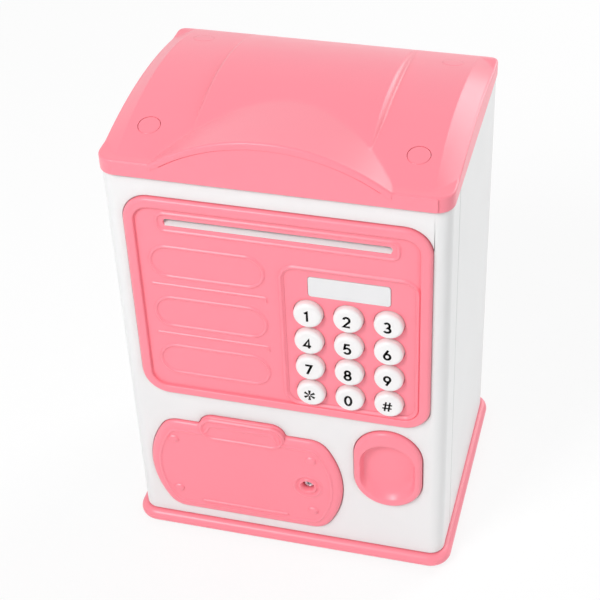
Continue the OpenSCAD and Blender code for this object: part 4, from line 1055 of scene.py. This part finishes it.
def buildScrew():
    s = screwSpec
    bm = bmesh.new()
    r, seat, tip = screw["sx"] / 2, -coverSpec["seatY"], -screw["y1"]
    head = s["lift"] - screw["y0"]
    profile = [(s["shankR"] - 0.4, tip), (s["shankR"], tip + 0.5), (s["shankR"], seat), (r, seat),
               (r, head - 0.5), (r - 0.1, head - 0.2), (r - 0.3, head - 0.05), (r - 0.5, head)]
    rings = roundRings(bm, onFront, screw["mx"], screw["mz"], profile, 40)
    a, b = s["armWide"] / 2, s["armLong"]
    c, d = math.cos(math.radians(s["turn"])), math.sin(math.radians(s["turn"]))
    cross = [(b, a), (a, a), (a, b), (-a, b), (-a, a), (-b, a), (-b, -a), (-a, -a), (-a, -b), (a, -b),
             (a, -a), (b, -a)]
    cross = [(u * c - v * d, u * d + v * c) for u, v in cross]
    recess = loft(bm, [[onFront(screw["mx"] + u * k, screw["mz"] + v * k, head - drop) for u, v in cross]
                       for k, drop in ((1.0, 0.0), (s["narrow"], s["deep"]))])
    cap(bm, rings[0], recess[1])
    fillHoles(bm, rings[-1], [recess[0]], (0, -1, 0))
    makePiece("coverScrew", bm, "battery_cover", "steel", ["cover_screw"])


buildScrew()


def buildButton():
    s = buttonSpec
    bm = bmesh.new()
    top, end, grow = s["front"], -button["y1"], 2 * s["flange"]
    profile = [(0, -2.4)] + roundEdge(s["edge"], top, 7)
    rings = rectRings(bm, onFront, s["x"], s["z"], s["w"], s["h"], s["w"] / 2, profile, 18)
    made = loft(bm, [[onFront(u, v, top - drop)
                      for u, v in roundRect(s["x"], s["z"] + up, w, h, w * 0.48, 18)]
                     for w, h, up, drop in s["dish"]])
    skin(bm, rings[-1], made[0])
    flange = rectRings(bm, onFront, s["x"], s["z"], s["w"] + grow, s["h"] + grow, 14,
                       [(0.2, -2.4), (0, -2.6), (0, -3.4), (0.2, -3.6)], 18)
    cap(bm, rings[0], made[-1], flange[0], flange[-1])
    lathe(bm, onFront, s["x"], s["z"], [(2.5, -3.5), (2.5, end + 0.3), (2.2, end)])
    makePiece("fingerButton", bm, "finger_button", "pink_plastic", ["finger_button"])


buildButton()
for name in keyNames:
    buildFigure(name)
print("front pieces done")


# spring of the latch

spring = cad("latch_spring")
springSpec = {"turns": 5, "wire": 0.62, "steps": 28}


def buildSpring():
    bm = bmesh.new()
    s = springSpec
    wire = s["wire"] / 2
    mid = spring["sy"] / 2 - wire
    x0, x1 = spring["x0"] + wire, spring["x1"] - wire
    count = s["turns"] * s["steps"]
    rings = []
    for i in range(count + 1):
        t = i / count
        a = 2 * math.pi * s["turns"] * t
        pitch = min(max((t * s["turns"] - 0.75) / (s["turns"] - 1.5), 0.0), 1.0)
        out = Vector((0, math.cos(a), math.sin(a)))
        centre = Vector((x0 + (x1 - x0) * pitch, spring["my"], spring["mz"])) + out * mid
        loop = []
        for j in range(10):
            b = 2 * math.pi * j / 10
            loop.append(at(*(centre + out * (wire * math.cos(b)) + Vector((wire * math.sin(b), 0, 0)))))
        rings.append(loop)
    made = loft(bm, rings)
    cap(bm, made[0], made[-1])
    obj = makePiece("returnSpring", bm, "door", "steel", ["latch_spring"])
    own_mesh(obj)


buildSpring()


# CAD nodes that stay get their finish and a fine edge

edgeSpec = {"weld": 0.02, "width": 0.15, "turn": 40}


def dressNodes():
    slots = {part["node"]: part["material_slot"] for part in frame["record"]["subparts"]}
    for name, obj in cadNodes.items():
        if name in replacedNodes:
            continue
        for slotItem in obj.material_slots:
            slotItem.material = materials[slots.get(name, "steel")]
        weld = obj.modifiers.new("weldSeams", "WELD")
        weld.merge_threshold = edgeSpec["weld"] * mm
        edge = obj.modifiers.new("fineEdge", "BEVEL")
        edge.width = edgeSpec["width"] * mm
        edge.segments = 2
        edge.limit_method = "ANGLE"
        edge.angle_limit = math.radians(edgeSpec["turn"])


dressNodes()
print("CAD nodes dressed")


# stage, light and camera

stageSpec = {"half": 3.0, "tint": (0.95, 0.95, 0.95, 1), "glow": 0.85}  # metres
lightSpec = {  # place in metres, width, height and power of each lamp
    "world": 0.42, "key": (-0.38, -0.7, 0.84, 0.34, 0.34, 6.5), "right": (0.57, 0.94, 0.7, 0.5, 1.2, 7.6),
    "fill": (1.0, -0.62, 0.3, 0.6, 0.6, 1.5), "middle": (0, 0, 0.09)}
cameraSpec = {"azimuth": 16.4911, "elevation": 38.36, "roll": -2.6913, "lens": 91.559,
              "place": (126.817, -399.183, 452.423)}


def seenDirectly(tree):  # 1 for what the camera, gloss or glass sees
    path = addNode(tree, "ShaderNodeLightPath").outputs
    seen = addMath(tree, "MAXIMUM", path["Is Camera Ray"], path["Is Glossy Ray"])
    return addMath(tree, "MAXIMUM", seen, path["Is Transmission Ray"])


def mixShaders(tree, factor, first, second, target):
    mix = addNode(tree, "ShaderNodeMixShader")
    for socket, value in zip(mix.inputs, (factor, first.outputs[0], second.outputs[0])):
        tree.links.new(value, socket)
    tree.links.new(mix.outputs[0], addNode(tree, target).inputs["Surface"])


def buildStage():
    bm = bmesh.new()
    half = stageSpec["half"]
    cap(bm, ring(bm, [(-half, -half, 0), (half, -half, 0), (half, half, 0), (-half, half, 0)]))
    floor = meshObject("paleFloor", bm)
    material = bpy.data.materials.new("paleFloor")
    material.use_nodes = True
    tree = material.node_tree
    tree.nodes.clear()
    matt = addNode(tree, "ShaderNodeBsdfDiffuse", Color=stageSpec["tint"])
    glow = addNode(tree, "ShaderNodeEmission", Strength=1.0)
    share = addMath(tree, "MULTIPLY", seenDirectly(tree), stageSpec["glow"])
    mixShaders(tree, share, matt, glow, "ShaderNodeOutputMaterial")
    floor.data.materials.append(material)


def buildLight():
    scene.world = scene.world or bpy.data.worlds.new("studio")
    scene.world.use_nodes = True
    tree = scene.world.node_tree
    tree.nodes.clear()
    soft = addNode(tree, "ShaderNodeBackground", Color=(1, 1, 1, 1), Strength=lightSpec["world"])
    white = addNode(tree, "ShaderNodeBackground", Color=(1, 1, 1, 1), Strength=1.0)
    mixShaders(tree, seenDirectly(tree), soft, white, "ShaderNodeOutputWorld")
    for name in ("key", "right", "fill"):
        x, y, z, wide, tall, power = lightSpec[name]
        lamp = bpy.data.lights.new(name + "Softbox", "AREA")
        lamp.shape = "RECTANGLE"
        lamp.size = wide
        lamp.size_y = tall
        lamp.energy = power
        obj = addObject(name + "Softbox", lamp)
        obj.location = (x, y, z)
        obj.rotation_euler = (Vector(lightSpec["middle"]) - obj.location).to_track_quat("-Z", "Y").to_euler()


def buildCamera():
    s = cameraSpec
    az, el, roll = (math.radians(s[k]) for k in ("azimuth", "elevation", "roll"))
    back = Vector((math.sin(az) * math.cos(el), -math.cos(az) * math.cos(el), math.sin(el)))
    right = (-back).cross(Vector((0, 0, 1))).normalized()
    up = right.cross(-back)
    sideAxis = right * math.cos(roll) + up * math.sin(roll)
    upAxis = up * math.cos(roll) - right * math.sin(roll)
    data = bpy.data.cameras.new("photoCamera")
    data.sensor_width = 36.0
    data.lens = s["lens"]
    data.clip_start = 0.01
    camera = addObject("photoCamera", data)
    turn = Matrix((sideAxis, upAxis, back)).transposed().to_4x4()
    camera.matrix_world = Matrix.Translation(at(*s["place"])) @ turn
    scene.camera = camera


buildStage()
buildLight()
buildCamera()
scene.view_settings.view_transform = "Standard"
print("stage, light and camera done")
